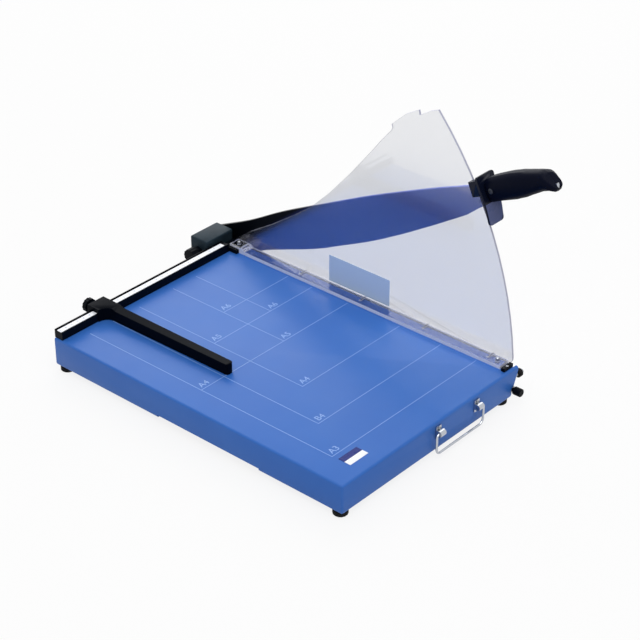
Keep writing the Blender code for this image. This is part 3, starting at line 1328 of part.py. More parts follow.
def make_stop():
    middle = (STOP_LEFT + STOP_RIGHT) / 2
    left = middle - STOP_LEFT
    right = middle - STOP_RIGHT
    root_left = right - ARM_ROOT_WIDTH
    end_left = right - ARM_END_WIDTH
    fillet = arc(
        (root_left - ARM_FILLET, -STOP_FRONT - ARM_FILLET * 0.2), ARM_FILLET, math.pi / 2, 0,
        ARM_FILLET_STEPS)
    fillet = [(max(across, left), along) for across, along in fillet]
    corner = ARM_END_WIDTH / 4
    tip = [
        (end_left, corner - ARM_END), (end_left + corner / 2, corner / 3 - ARM_END),
        (end_left + corner, -ARM_END),
        (right - corner, -ARM_END), (right - corner / 3, corner / 2 - ARM_END), (right, corner - ARM_END)]
    plan = [(left, STOP_REAR), (left, fillet[0][1])] + fillet[1:] + tip + [(right, STOP_REAR)]
    height = STOP_TOP - ARM_BASE
    shape = moved(outline([plan], height, "XY"), (0, 0, ARM_BASE + height / 2))
    stop = piece("stop_arm", shape, STOP_PLASTIC, STOP_JOINT)

    slope = [
        (-STOP_FRONT, STOP_TOP), (-STOP_FRONT - ARM_SLOPE, ARM_HEIGHT), (-ARM_END - OVERRUN, ARM_HEIGHT),
        (-ARM_END - OVERRUN, STOP_TOP + OVERRUN), (-STOP_FRONT, STOP_TOP + OVERRUN)]
    cut(stop, outline([slope], 2 * (STOP_LEFT - STOP_RIGHT), "YZ"), "lower_arm")
    soften(stop, ARM_BASE, 1)
    channel = bmesh.new()
    box(
        channel, (left - OVERRUN, -RUNNING, -OVERRUN),
        (right + OVERRUN, RAIL_DEPTH + RUNNING, RAIL_HEIGHT + RUNNING))
    cut(stop, channel, "rail_channel")
    boss = bmesh.new()
    rod(boss, "Y", (0, STOP_REAR - OVERRUN, STOP_KNOB_RISE), STOP_BOSS_LENGTH + OVERRUN, STOP_BOSS_RADIUS,
        sides=SIDES)
    join(stop, boss, "boss")
    bore = bmesh.new()
    rod(
        bore, "Y", (0, RAIL_DEPTH, STOP_KNOB_RISE), STOP_REAR - RAIL_DEPTH + STOP_BOSS_LENGTH + OVERRUN,
        SPINDLE_RADIUS + GAP)
    cut(stop, bore, "spindle_bore")

    seat = STOP_REAR + STOP_BOSS_LENGTH + GAP
    shape = outline([knob_outline(STOP_KNOB_RADIUS)], STOP_KNOB_LENGTH, "XZ")
    knob = piece("stop_knob", moved(shape, (0, seat + STOP_KNOB_LENGTH / 2, 0)), BLACK_PLASTIC,
        STOP_KNOB_JOINT)
    spindle = bmesh.new()
    start = RAIL_DEPTH + GAP
    rod(spindle, "Y", (0, start, 0), seat - start + OVERRUN, SPINDLE_RADIUS)
    join(knob, spindle, "spindle")


# Bail handle, bumper and lock knob

def make_bail():
    centre = (-BAIL_AXIS_Y, -BAIL_AXIS_DROP)
    skin = -TABLE_FRONT - GAP
    plate = skin - EAR_PLATE
    loop = arc(centre, EAR_RADIUS, math.radians(75), math.radians(285), EAR_ROUND_STEPS)
    low = centre[1] - EAR_HALF_HEIGHT
    high = centre[1] + EAR_HALF_HEIGHT
    section = (
        [(skin, low), (skin, high), (plate, high), (plate, loop[0][1])] + loop
        + [(plate, loop[-1][1]), (plate, low)])
    hole = arc(centre, BAIL_WIRE + GAP, 0, 2 * math.pi, SMALL_SIDES)[:-1]
    for name, middle in zip(("bail_ear_left", "bail_ear_right"), ear_middles()):
        ear = outline([section, hole], EAR_WIDTH, "YZ")
        ear_piece = piece(name, moved(ear, (middle, 0, 0)), CHROME, ROOT)
        holes = bmesh.new()
        for up in ear_screw_heights():
            rod(
                holes, "Y", (middle, plate - OVERRUN, up), EAR_PLATE + 2 * OVERRUN, EAR_SCREW_RADIUS + GAP)
        cut(ear_piece, holes, "screw_holes")
    screw = screw_shape(EAR_SCREW_RADIUS, EAR_SCREW_LENGTH, EAR_SCREW_HEAD, EAR_SCREW_HEAD_HEIGHT)
    screw.transform(Matrix.Rotation(math.radians(90), 4, "X"))
    places = [
        (middle, plate - GAP, up) for middle in ear_middles() for up in ear_screw_heights()]
    copies("ear_screw", screw, places, SCREW_METAL, ROOT)

    inner = BAIL_HALF_SPAN - EAR_OFFSET - EAR_WIDTH + GAP
    turn = BAIL_CORNER / 2
    half = [(inner, 0)]
    half += arc((BAIL_HALF_SPAN - turn, -turn), turn, math.pi / 2, 0, BAIL_CORNER_STEPS)
    half += arc(
        (BAIL_HALF_SPAN - BAIL_CORNER, BAIL_CORNER - BAIL_LENGTH), BAIL_CORNER, 0, -math.pi / 2,
        BAIL_CORNER_STEPS)
    route = [(-across, 0, up) for across, up in half] + [(across, 0, up) for across, up in reversed(half)]
    piece("bail_handle", wire_path(route, BAIL_WIRE), CHROME, BAIL_JOINT)


def bumper_height():
    return STOP_LUG_LOW - PIVOT_DROP - GAP - BUMPER_RADIUS


def make_bumper():
    inner = BUMPER_PIN_RADIUS + GAP
    edge = BUMPER_RADIUS / 4
    profile = (
        (inner, BUMPER_LENGTH), (BUMPER_RADIUS - edge, BUMPER_LENGTH), (BUMPER_RADIUS, BUMPER_LENGTH - edge),
        (BUMPER_RADIUS, edge), (BUMPER_RADIUS - edge, 0), (inner, 0))
    place = (BUMPER_LEFT, -BUMPER_Y, bumper_height())
    piece("blade_bumper", placed(turned(profile, closed=True), "X", place), RUBBER, ROOT)
    beam_side = side_line(-bumper_height()) + GAP
    seat = BUMPER_LEFT - GAP
    end = BUMPER_LEFT + BUMPER_LENGTH + GAP
    pin = turned((
        (0, end + BUMPER_PIN_HEAD_LENGTH), (BUMPER_PIN_HEAD - GAP, end + BUMPER_PIN_HEAD_LENGTH),
        (BUMPER_PIN_HEAD, end), (BUMPER_PIN_RADIUS, end), (BUMPER_PIN_RADIUS, seat),
        (BUMPER_PIN_SHOULDER, seat),
        (BUMPER_PIN_SHOULDER, beam_side), (BUMPER_PIN_RADIUS, beam_side),
        (BUMPER_PIN_RADIUS, -BUMPER_PIN_START), (0, -BUMPER_PIN_START)), SMALL_SIDES)
    piece("bumper_pin", placed(pin, "X", (0, -BUMPER_Y, bumper_height())), SCREW_METAL, ROOT)


def make_lock():
    inner = LOCK_ROD_RADIUS + GAP
    ring = (
        (inner, LOCK_BUSH_LENGTH), (LOCK_BUSH_RADIUS, LOCK_BUSH_LENGTH), (LOCK_BUSH_RADIUS, 0), (inner, 0))
    place = (-LOCK_X, -LOCK_BUSH_START - SHEET, -LOCK_DROP)
    piece("lock_bush", placed(turned(ring, closed=True), "Y", place), STEEL, ROOT)
    profile = (
        (0, LOCK_ROD_LENGTH), (LOCK_ROD_RADIUS - GAP, LOCK_ROD_LENGTH),
        (LOCK_ROD_RADIUS, LOCK_ROD_LENGTH - GAP),
        (LOCK_ROD_RADIUS, 0), (LOCK_KNOB_RADIUS - LOCK_CHAMFER, 0), (LOCK_KNOB_RADIUS, -LOCK_CHAMFER),
        (LOCK_KNOB_RADIUS, LOCK_CHAMFER - LOCK_KNOB_LENGTH),
        (LOCK_KNOB_RADIUS - LOCK_CHAMFER, -LOCK_KNOB_LENGTH),
        (0, -LOCK_KNOB_LENGTH))
    piece("lock_knob", placed(turned(profile), "Y", (0, 0, 0)), BLACK_PLASTIC, LOCK_JOINT)


clear_scene()
PARTS = new_collection("guillotine_paper_cutter")
TOOLS = new_collection("cutters")

PAINT = finish("blue_enamel", "6485C4", 0.42)
BEAM_METAL = finish("painted_beam", "3F62A8", 0.5)
STEEL = finish("ground_steel", "B9BCC0", 0.3, 1.0)
BLADE_STEEL = finish("blackened_blade_steel", "0C1020", 0.25, 0.4)
BLACK_METAL = finish("black_anodised_aluminium", "07090F", 0.4, 0.3)
BLACK_PLASTIC = finish("black_plastic", "05070C", 0.45)
STOP_PLASTIC = finish("black_moulded_plastic", "0A0E14", 0.35)
GRIP_PLASTIC = finish("grip_plastic", "060A14", 0.4)
SHIELD_PLASTIC = finish("shield_plastic", "1A1E2E", 0.3)
WHITE_PLASTIC = finish("white_scale_plastic", "F4F6FA", 0.4)
CASTING = finish("painted_casting", "35464F", 0.5)
RUBBER = finish("black_rubber", "0B0B0D", 0.8)
CLEAR_PLASTIC = finish("clear_acrylic", "DDE4EE", 0.05, 0.0, 0.9)
CHROME = finish("chromed_steel", "D5DAE2", 0.12, 1.0)
SCREW_METAL = finish("zinc_plated_steel", "9EA3AA", 0.35, 1.0)
BRONZE = finish("sintered_bronze", "9C7A45", 0.45, 1.0)

ROOT = empty("cutter_frame", (ORIGIN_X, ORIGIN_Y, FLOOR_DROP))
BLADE_JOINT = empty("blade_pivot", (0, PIVOT_Y, -PIVOT_DROP), ROOT)
BLADE_JOINT.rotation_euler = (-OPEN_ANGLE, 0, 0)
CLAMP_JOINT = empty("clamp_slide", (0, 0, 0), ROOT)
STOP_JOINT = empty("stop_slide", (-(STOP_LEFT + STOP_RIGHT) / 2, 0, 0), ROOT)
STOP_KNOB_JOINT = empty("stop_knob_axis", (0, 0, STOP_KNOB_RISE), STOP_JOINT)
SPRING_JOINT = empty("spring_knob_axis", (0, PIVOT_Y, SPRING_KNOB_RISE - PIVOT_DROP), ROOT)
BAIL_JOINT = empty("bail_axis", (-BAIL_MIDDLE, -BAIL_AXIS_Y, -BAIL_AXIS_DROP), ROOT)
LOCK_JOINT = empty("lock_slide", (-LOCK_X, -TABLE_FRONT - GAP - SHEET, -LOCK_DROP), ROOT)

make_base_shell()
make_edge_beam()
make_bed_blade()
make_feet()
make_rail()
make_housing()
make_shaft()
make_spring()
make_spring_knob()
make_blade()
make_hand_shield()
make_grip()
make_clamp_strip()
make_guard()
make_end_blocks()
make_stop()
make_bail()
make_bumper()
make_lock()
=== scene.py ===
"""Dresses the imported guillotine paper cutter: finishes, printing, fine edges, light and camera."""

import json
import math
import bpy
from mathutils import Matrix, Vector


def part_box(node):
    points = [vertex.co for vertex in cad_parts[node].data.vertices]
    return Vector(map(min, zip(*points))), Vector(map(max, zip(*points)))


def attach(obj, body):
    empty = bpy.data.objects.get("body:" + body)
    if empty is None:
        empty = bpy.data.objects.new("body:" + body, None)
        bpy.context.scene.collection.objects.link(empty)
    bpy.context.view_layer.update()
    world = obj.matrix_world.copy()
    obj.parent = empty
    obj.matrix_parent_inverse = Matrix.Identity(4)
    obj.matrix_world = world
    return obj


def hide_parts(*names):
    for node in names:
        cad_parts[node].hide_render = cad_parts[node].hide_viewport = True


bl_info = {
    "name": "Guillotine paper cutter",
    "version": (1, 0, 0),
    "blender": (4, 5, 0),
    "location": "3D View > Sidebar > Paper cutter",
    "description": "Finishes, printed marks and studio stage for a guillotine paper cutter",
    "category": "Object",
}

import bmesh
import bpy
from bpy.props import FloatProperty, FloatVectorProperty, PointerProperty
from mathutils import Matrix, Vector

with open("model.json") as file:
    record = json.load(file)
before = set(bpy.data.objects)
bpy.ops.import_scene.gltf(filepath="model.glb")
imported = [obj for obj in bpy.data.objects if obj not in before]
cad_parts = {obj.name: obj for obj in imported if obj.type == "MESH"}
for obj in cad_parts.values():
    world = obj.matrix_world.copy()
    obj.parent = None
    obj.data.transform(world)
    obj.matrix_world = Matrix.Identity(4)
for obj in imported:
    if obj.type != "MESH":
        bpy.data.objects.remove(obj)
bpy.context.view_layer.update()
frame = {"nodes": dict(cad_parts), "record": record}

MILLIMETRE = 0.001
WHITE = (1.0, 1.0, 1.0, 1.0)

# Distance within which corners are welded, and the gap under anything printed
CLOSE = 0.00001

# Angle up to which neighbouring faces are joined, and up to which they are shaded smooth
FLAT_ANGLE = math.radians(1.0)
SMOOTH_ANGLE = math.radians(34.0)

# Share of a face's normal along an axis from which the face looks that way
FACING = 0.5

# Height of a capital as a share of its font's size, steps of a letter's curve, and half a figure's width
# as a share of its height
CAPITAL_SHARE = 0.7
LETTER_STEPS = 4
FIGURE_SHARE = 0.35

# Place of a format's name from the corner of its lines, as shares of its height
LABEL_ACROSS = 0.5
LABEL_ALONG = 0.4

# Roundings as shares of the common edge rounding, and those of thin pieces as shares of their thickness
RAIL_ROUND = 0.4
WASHER_ROUND = 0.5
NUT_ROUND = 0.6
SHEET_ROUND = 0.6
BADGE_ROUND = 0.4
FILM_ROUND = 0.3

# Arms of a cross recess as shares of the screw head's radius
RECESS_LENGTH = 1.3
RECESS_WIDTH = 0.3

# Range in which most of a noise texture's values lie
NOISE_LOW = 0.3
NOISE_HIGH = 0.7

# Depths of surface grain in metres
FINE_DEPTH = 0.00001
STROKE_DEPTH = 0.00002
GRAIN_DEPTH = 0.00004
WAVE_DEPTH = 0.00005
CASTING_DEPTH = 0.00012

# The zero corner: cutting plane, front face of the rail and table top
ZERO = Vector((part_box("bed_blade")[1].x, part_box("rail")[0].y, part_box("base_shell")[1].z))

# Materials made so far, by name
MADE = {}

# Standard paper formats on the table, across and along the cut in millimetres
FORMATS = (
    ("A6", 148, 105), ("A6", 105, 148), ("A5", 148, 210), ("A5", 210, 148), ("A4", 210, 297),
    ("A4", 297, 210), ("B4", 257, 364), ("A3", 297, 420),
)

# Left front corner of the bare plate and front lower corner of the bare film, from the zero corner
BADGE_LEFT, BADGE_FRONT = -0.296, -0.447
FILM_FRONT, FILM_BOTTOM = -0.264, 0.007

# Painted reflection on the blade of the blue table seen through the guard: where it starts and is full along
# the table, its lean with height along the guard's edge, and the black reach before the pivot
REFLECTION_START, REFLECTION_FULL, REFLECTION_LEAN = 0.016, -0.014, 1.29
BLACK_LINE, BLACK_REACH = 0.015, 0.035

# Middles of the soft lamps, and the brightness of the floor
KEY_PLACE = Vector((-0.8, -0.9, 3.4))
SHEEN_PLACE = Vector((2.4, 2.0, 2.2))
FLOOR_VALUE = 0.82

# Camera of the photograph from the zero corner, fitted to the corners of the printed formats
CAMERA_PLACE = Vector((-1.6727, -1.6090, 1.2992))
CAMERA_AIM = Vector((0.64078, 0.56239, -0.52261))
CAMERA_LENS = 108.86
CAMERA_SENSOR = 36.0
CAMERA_CLIP = 0.05


def linear(code):
    """Linear colour of an sRGB hex value."""
    channels = [int(code[start:start + 2], 16) / 255 for start in (0, 2, 4)]
    return [value / 12.92 if value <= 0.04045 else ((value + 0.055) / 1.055) ** 2.4 for value in channels]


def colour(name, description, code):
    """A colour setting that starts at an sRGB hex value."""
    return FloatVectorProperty(
        name=name, description=description, subtype="COLOR", size=3, min=0.0, max=1.0, default=linear(code))


def length(name, description, millimetres):
    """A length setting that starts at so many millimetres."""
    return FloatProperty(
        name=name, description=description, unit="LENGTH", subtype="DISTANCE", min=0.0, precision=5,
        default=millimetres * MILLIMETRE)


class CutterFinishes(bpy.types.PropertyGroup):
    """Colours of the cutter's finishes."""

    enamel: colour("Enamel", "Stove enamel on the sheet table", "3167BA")
    enamel_light: colour("Enamel highlight", "Lighter patches of the enamel", "366CBE")
    # The blade's blue is partly its own dark blue and partly a painted reflection of the blue table seen
    # through the guard
    blade: colour("Blued blade", "Heat-blued steel of the blade", "5163BE")
    blade_root: colour("Blade root", "Blackened steel near the pivot", "02060F")
    black: colour("Moulded black", "Glass-filled black plastic", "05080F")
    grip: colour("Grip", "Satin black grip plastic", "04081A")
    shield: colour("Shield", "Glossy hand shield", "0C1122")
    casting: colour("Casting paint", "Grey-green paint on the pivot housing", "1E2B34")
    ink: colour("Printed line", "Pale ink of the paper formats", "8FB2EA")
    steel: colour("Ground steel", "Bed blade and pivot hardware", "B4B8BE")
    scale: colour("Scale strip", "White strip on the rail", "F4F6FC")


class CutterSizes(bpy.types.PropertyGroup):
    """Sizes of what is printed, stuck on or rounded."""

    line_width: length("Line width", "Width of a printed format line", 0.7)
    ink_height: length("Ink height", "Thickness of printed ink", 0.06)
    label_height: length("Label height", "Height of the format names", 9.0)
    clamp_margin: length("Line start at the clamp", "Distance of the lines from the cutting plane", 24.0)
    rail_margin: length("Line start at the rail", "Distance of the lines from the rail", 13.0)
    tick_long: length("Long graduation", "Length of a centimetre graduation", 3.2)
    tick_short: length("Short graduation", "Length of a half-centimetre graduation", 1.8)
    tick_width: length("Graduation width", "Width of a graduation", 0.25)
    figure_height: length("Figure height", "Height of the figures on the scale", 2.2)
    badge_width: length("Badge width", "Width of the bare plate on the table", 32.0)
    badge_depth: length("Badge depth", "Depth of the bare plate on the table", 18.5)
    badge_height: length("Badge height", "Thickness of the bare plate", 0.5)
    film_length: length("Film length", "Length of the bare film on the guard", 103.0)
    film_height: length("Film height", "Height of the bare film on the guard", 39.0)
    film_thickness: length("Film thickness", "Thickness of the bare film", 0.15)
    edge_round: length("Edge rounding", "Radius on moulded and machined edges", 0.5)
    recess_depth: length("Recess depth", "Depth of a screw's cross recess", 0.7)


class CutterStage(bpy.types.PropertyGroup):
    """Floor, light and camera."""

    floor_size: FloatProperty(
        name="Floor size", description="Side of the floor", unit="LENGTH", default=12.0)
    world_light: FloatProperty(name="World light", description="Even light from all round", default=0.33)
    key_power: FloatProperty(
        name="Key power", description="Power of the key lamp", unit="POWER", default=95.0)
    sheen_power: FloatProperty(
        name="Sheen power", description="Power of the sheen lamp", unit="POWER", default=85.0)
    lamp_size: FloatProperty(
        name="Lamp size", description="Side of each soft lamp", unit="LENGTH", default=4.0)
    shadow_share: FloatProperty(
        name="Shadow share", description="How much of the shadow the floor keeps", default=0.15)


# Nodes and materials

def add(tree, kind, inputs=None, feeds=None, **settings):
    """One shader node, its settings, the values or sources of its inputs and the sockets it feeds."""
    node = tree.nodes.new("ShaderNode" + kind)
    for name, value in settings.items():
        setattr(node, name, value)
    for name, value in (inputs or {}).items():
        socket = node.inputs[name]
        if isinstance(value, bpy.types.NodeSocket):
            tree.links.new(value, socket)
        else:
            socket.default_value = value
    for name, socket in (feeds or {}).items():
        tree.links.new(node.outputs[name], socket)
    return node


def per_metre(millimetres):
    """Texture scale at which one cell of a pattern measures so many millimetres."""
    return 1.0 / (millimetres * MILLIMETRE)


def start_material(name, **values):
    """A material with its Principled shader's own values, its tree and its Object coordinates."""
    material = bpy.data.materials.new(name)
    material.use_nodes = True
    tree = material.node_tree
    shader = tree.nodes["Principled BSDF"]
    for socket, value in values.items():
        shader.inputs[socket.replace("_", " ")].default_value = value
    place = add(tree, "TexCoord").outputs["Object"]
    return material, tree, shader, place


def solid(rgb):
    """A colour as a node takes it, with full cover."""
    return (*rgb, 1.0)


def mottle(tree, place, millimetres, low=0.0, high=1.0, detail=3.0):
    """A value that drifts between low and high over patches of the given size."""
    noise = add(tree, "TexNoise", {"Vector": place, "Scale": per_metre(millimetres), "Detail": detail})
    spread = add(tree, "MapRange", {
        "Value": noise.outputs["Fac"], "From Min": NOISE_LOW, "From Max": NOISE_HIGH,
        "To Min": low, "To Max": high})
    return spread.outputs["Result"]


def two_tone(tree, shader, place, millimetres, first, second):
    """Base colour that drifts from one colour to the other over patches of the given size."""
    patches = mottle(tree, place, millimetres)
    add(tree, "Mix", {"Factor": patches, "A": solid(first), "B": solid(second)},
        {"Result": shader.inputs["Base Color"]}, data_type="RGBA")


def stove_enamel(name, deep, light):
    # Stove enamel on sheet steel: an even semi-gloss with a faint orange peel.
    material, tree, shader, place = start_material(name, Specular_IOR_Level=0.22)
    two_tone(tree, shader, place, 90.0, deep, light)
    tree.links.new(mottle(tree, place, 35.0, low=0.30, high=0.38), shader.inputs["Roughness"])
    peel = mottle(tree, place, 2.2, detail=1.0)
    add(tree, "Bump", {"Height": peel, "Distance": GRAIN_DEPTH, "Strength": 0.25},
        {"Normal": shader.inputs["Normal"]})
    return material


def ground_steel(name, rgb):
    # Surface-ground steel: fine lines run along the grinding stroke.
    material, tree, shader, place = start_material(name, Base_Color=solid(rgb), Metallic=1.0)
    across, along = per_metre(0.9), per_metre(36.0)
    lines = add(tree, "Mapping", {"Vector": place, "Scale": (across, along, across)})
    noise = add(tree, "TexNoise", {"Vector": lines.outputs["Vector"], "Scale": 1.0, "Detail": 2.0})
    add(tree, "MapRange", {"Value": noise.outputs["Fac"], "To Min": 0.22, "To Max": 0.38},
        {"Result": shader.inputs["Roughness"]})
    add(tree, "Bump", {"Height": noise.outputs["Fac"], "Distance": STROKE_DEPTH, "Strength": 0.3},
        {"Normal": shader.inputs["Normal"]})
    return material


def blued_steel(name, root, blue, pivot, start, end, slope):
    # Tool steel, black by the pivot. Its blue, brighter towards the grip and starting along the guard's
    # edge, is partly the steel's own dark blue and partly a painted reflection of the blue table seen
    # through the guard.
    material, tree, shader, place = start_material(name, Metallic=0.6, Specular_IOR_Level=0.1)
    reach = add(tree, "VectorMath", {0: place, 1: (0.0, 1.0, slope)}, operation="DOT_PRODUCT")
    along = add(tree, "MapRange", {
        "Value": reach.outputs["Value"], "From Min": start, "From Max": end},
        interpolation_type="SMOOTHSTEP")
    parts = add(tree, "SeparateXYZ", {"Vector": place})
    clear = add(tree, "MapRange", {
        "Value": parts.outputs["Y"], "From Min": pivot, "From Max": pivot - BLACK_REACH},
        interpolation_type="SMOOTHSTEP")
    both = add(tree, "Math", {0: along.outputs["Result"], 1: clear.outputs["Result"]}, operation="MULTIPLY")
    add(tree, "Mix", {"Factor": both.outputs["Value"], "A": solid(root), "B": solid(blue)},
        {"Result": shader.inputs["Base Color"]}, data_type="RGBA")
    across, upward = per_metre(1.2), per_metre(14.0)
    stroke = add(tree, "Mapping", {"Vector": place, "Scale": (across, across, upward)})
    noise = add(tree, "TexNoise", {"Vector": stroke.outputs["Vector"], "Scale": 1.0, "Detail": 3.0})
    add(tree, "MapRange", {"Value": noise.outputs["Fac"], "To Min": 0.38, "To Max": 0.44},
        {"Result": shader.inputs["Roughness"]})
    add(tree, "Bump", {"Height": noise.outputs["Fac"], "Distance": FINE_DEPTH, "Strength": 0.04},
        {"Normal": shader.inputs["Normal"]})
    return material


def moulded_plastic(name, rgb, roughness, grain, specular=0.06, depth=GRAIN_DEPTH):
    # Injection-moulded plastic with a spark-eroded grain, whose cell is given in millimetres.
    material, tree, shader, place = start_material(
        name, Base_Color=solid(rgb), Specular_IOR_Level=specular, IOR=1.5)
    spread = 0.05
    tree.links.new(
        mottle(tree, place, 18.0, roughness - spread, roughness + spread), shader.inputs["Roughness"])
    pits = add(tree, "TexVoronoi", {"Vector": place, "Scale": per_metre(grain)})
    add(tree, "Bump", {"Height": pits.outputs["Distance"], "Distance": depth, "Strength": 0.35},
        {"Normal": shader.inputs["Normal"]})
    return material


def cast_paint(name, rgb):
    # Paint over a sand casting: the mould's grain shows through.
    material, tree, shader, place = start_material(name, Specular_IOR_Level=0.1, Roughness=0.5)
    brighter = 1.35
    two_tone(tree, shader, place, 12.0, rgb, [min(value * brighter, 1.0) for value in rgb])
    add(tree, "Bump", {"Height": mottle(tree, place, 1.4), "Distance": CASTING_DEPTH, "Strength": 0.4},
        {"Normal": shader.inputs["Normal"]})
    return material


def clear_acrylic(name, rgb, coat):
    # Cast acrylic sheet: clear, with the slightest waviness and a smoky tint.
    material, tree, shader, place = start_material(
        name, Base_Color=solid(rgb), Roughness=0.02, IOR=1.49, Transmission_Weight=1.0,
        Specular_IOR_Level=0.3, Coat_Weight=coat, Coat_IOR=2.0, Coat_Roughness=0.22)
    waves = mottle(tree, place, 60.0, detail=1.0)
    add(tree, "Bump", {"Height": waves, "Distance": WAVE_DEPTH, "Strength": 0.1},
        {"Normal": shader.inputs["Normal"]})
    return material


def plated_metal(name, rgb, roughness):
    # Plated metal: chrome at low roughness, zinc at a higher one.
    material, tree, shader, place = start_material(name, Base_Color=solid(rgb), Metallic=1.0)
    brightest, dullest = 0.8, 1.3
    tree.links.new(
        mottle(tree, place, 6.0, roughness * brightest, roughness * dullest), shader.inputs["Roughness"])
    add(tree, "Bump", {"Height": mottle(tree, place, 1.1), "Distance": FINE_DEPTH, "Strength": 0.15},
        {"Normal": shader.inputs["Normal"]})
    return material


def soft_rubber(name, rgb):
    # Moulded rubber with a dusty bloom.
    material, tree, shader, place = start_material(name, Specular_IOR_Level=0.15, Roughness=0.85)
    bloom = 0.012
    two_tone(tree, shader, place, 5.0, rgb, [value + bloom for value in rgb])
    add(tree, "Bump", {"Height": mottle(tree, place, 0.9), "Distance": WAVE_DEPTH, "Strength": 0.4},
        {"Normal": shader.inputs["Normal"]})
    return material


def printed_ink(name, rgb):
    # Screen-printed ink: thin, matt and slightly uneven in its cover.
    material, tree, shader, place = start_material(name, Specular_IOR_Level=0.3, Roughness=0.55)
    cover = 0.9
    two_tone(tree, shader, place, 4.0, [value * cover for value in rgb], rgb)
    return material


def once(name, maker, *values, **more):
    """The material of that name, made the first time it is asked for."""
    if name not in MADE:
        MADE[name] = maker(name, *values, **more)
    return MADE[name]


def finishes():
    """The finishes set in the scene."""
    return bpy.context.scene.cutter_finishes


def sizes():
    """The sizes set in the scene."""
    return bpy.context.scene.cutter_sizes


def enamel():
    return once("stove_enamel", stove_enamel, finishes().enamel, finishes().enamel_light)


def steel():
    return once("ground_steel", ground_steel, finishes().steel)


def black_plastic():
    return once("glass_filled_plastic", moulded_plastic, finishes().black, roughness=0.45, grain=0.8)


def zinc():
    return once("zinc_plate", plated_metal, linear("A4A8AF"), roughness=0.32)


def chrome():
    return once("chrome_plate", plated_metal, linear("B8BCC4"), roughness=0.12)


def smooth_face(name, rgb, roughness, grain, specular):
    """A plastic, film or enamel with the finest grain."""
    return once(
        name, moulded_plastic, rgb, roughness=roughness, grain=grain, specular=specular, depth=FINE_DEPTH)


# Pieces

def body_of(node):
    """The body that a CAD node rides on."""
    bodies = frame["record"]["behaviour"]["bodies"]
    return next(name for name, nodes in bodies.items() if node in nodes)


def finish_piece(name, shape, material, body, smooth=True):
    """An object from a bmesh, at the origin, riding on its body."""
    mesh = bpy.data.meshes.new(name)
    shape.to_mesh(mesh)
    shape.free()
    mesh.materials.append(material)
    if smooth:
        mesh.shade_smooth()
        mesh.set_sharp_from_angle(angle=SMOOTH_ANGLE)
    piece = bpy.data.objects.new(name, mesh)
    bpy.context.scene.collection.objects.link(piece)
    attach(piece, body)
    return piece


def cad_copy(node):
    """The welded shape of a CAD node, with its flat faces whole again."""
    shape = bmesh.new()
    shape.from_mesh(frame["nodes"][node].data)
    bmesh.ops.remove_doubles(shape, verts=shape.verts, dist=CLOSE)
    bmesh.ops.dissolve_limit(
        shape, angle_limit=FLAT_ANGLE, verts=shape.verts, edges=shape.edges, use_dissolve_boundaries=False)
    return shape


def close_bore(piece, screw):
    """Closes the bore that a screw leaves in a piece, where only its tip would show."""
    low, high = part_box(screw)
    centre, reach = (low + high) / 2, (high.y - low.y) / 2
    shape = bmesh.new()
    shape.from_mesh(piece.data)
    bore = [face for face in shape.faces if all(
        math.hypot(vert.co.y - centre.y, vert.co.z - centre.z) < reach for vert in face.verts)]
    bmesh.ops.delete(shape, geom=bore, context="FACES")
    bmesh.ops.holes_fill(shape, edges=[edge for edge in shape.edges if edge.is_boundary], sides=0)
    shape.to_mesh(piece.data)
    shape.free()


def sheet_edges(piece, across, material):
    """Gives a sheet's narrow sides a material of their own; across is the axis of its thickness."""
    piece.data.materials.append(material)
    for face in piece.data.polygons:
        face.material_index = int(abs(face.normal[across]) < FACING)


def round_edges(piece, width):
    """Rounds the sharp edges of a piece."""
    step = piece.modifiers.new("rounded_edges", "BEVEL")
    step.width = width
    step.segments = 2
    step.limit_method = "ANGLE"
    step.angle_limit = SMOOTH_ANGLE
    step.use_clamp_overlap = True
    step.harden_normals = True


def dress(node, material, rounding=0.0):
    """A smooth, fine-edged piece that stands for a CAD node."""
    piece = finish_piece(node + "_dressed", cad_copy(node), material, body_of(node))
    if rounding:
        round_edges(piece, rounding)
    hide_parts(node)
    return piece


def dress_all(stem, material):
    """Dresses every CAD node whose name starts with a stem."""
    for node in sorted(frame["nodes"]):
        if node.startswith(stem):
            dress(node, material)


def at(across, along, up):
    """A point measured from the zero corner."""
    return ZERO + Vector((across, along, up))


def block(shape, low, high):
    """A box between two corners, added to a bmesh."""
    low, high = Vector(low), Vector(high)
    place = Matrix.Translation((low + high) / 2) @ Matrix.Diagonal((*(high - low), 1.0))
    bmesh.ops.create_cube(shape, size=1.0, matrix=place)


def lettering(shape, words, height, place, lift):
    """Flat words with their lower left corner at a place, added to a bmesh."""
    data = bpy.data.curves.new("words", "FONT")
    data.body = words
    data.size = height / CAPITAL_SHARE
    data.extrude = lift / 2
    data.resolution_u = LETTER_STEPS
    text = bpy.data.objects.new("words", data)
    bpy.context.scene.collection.objects.link(text)
    bpy.context.view_layer.update()
    mesh = bpy.data.meshes.new_from_object(text.evaluated_get(bpy.context.evaluated_depsgraph_get()))
    mesh.transform(Matrix.Translation(place + Vector((0.0, 0.0, lift / 2))))
    shape.from_mesh(mesh)
    bpy.data.objects.remove(text, do_unlink=True)
    bpy.data.meshes.remove(mesh)


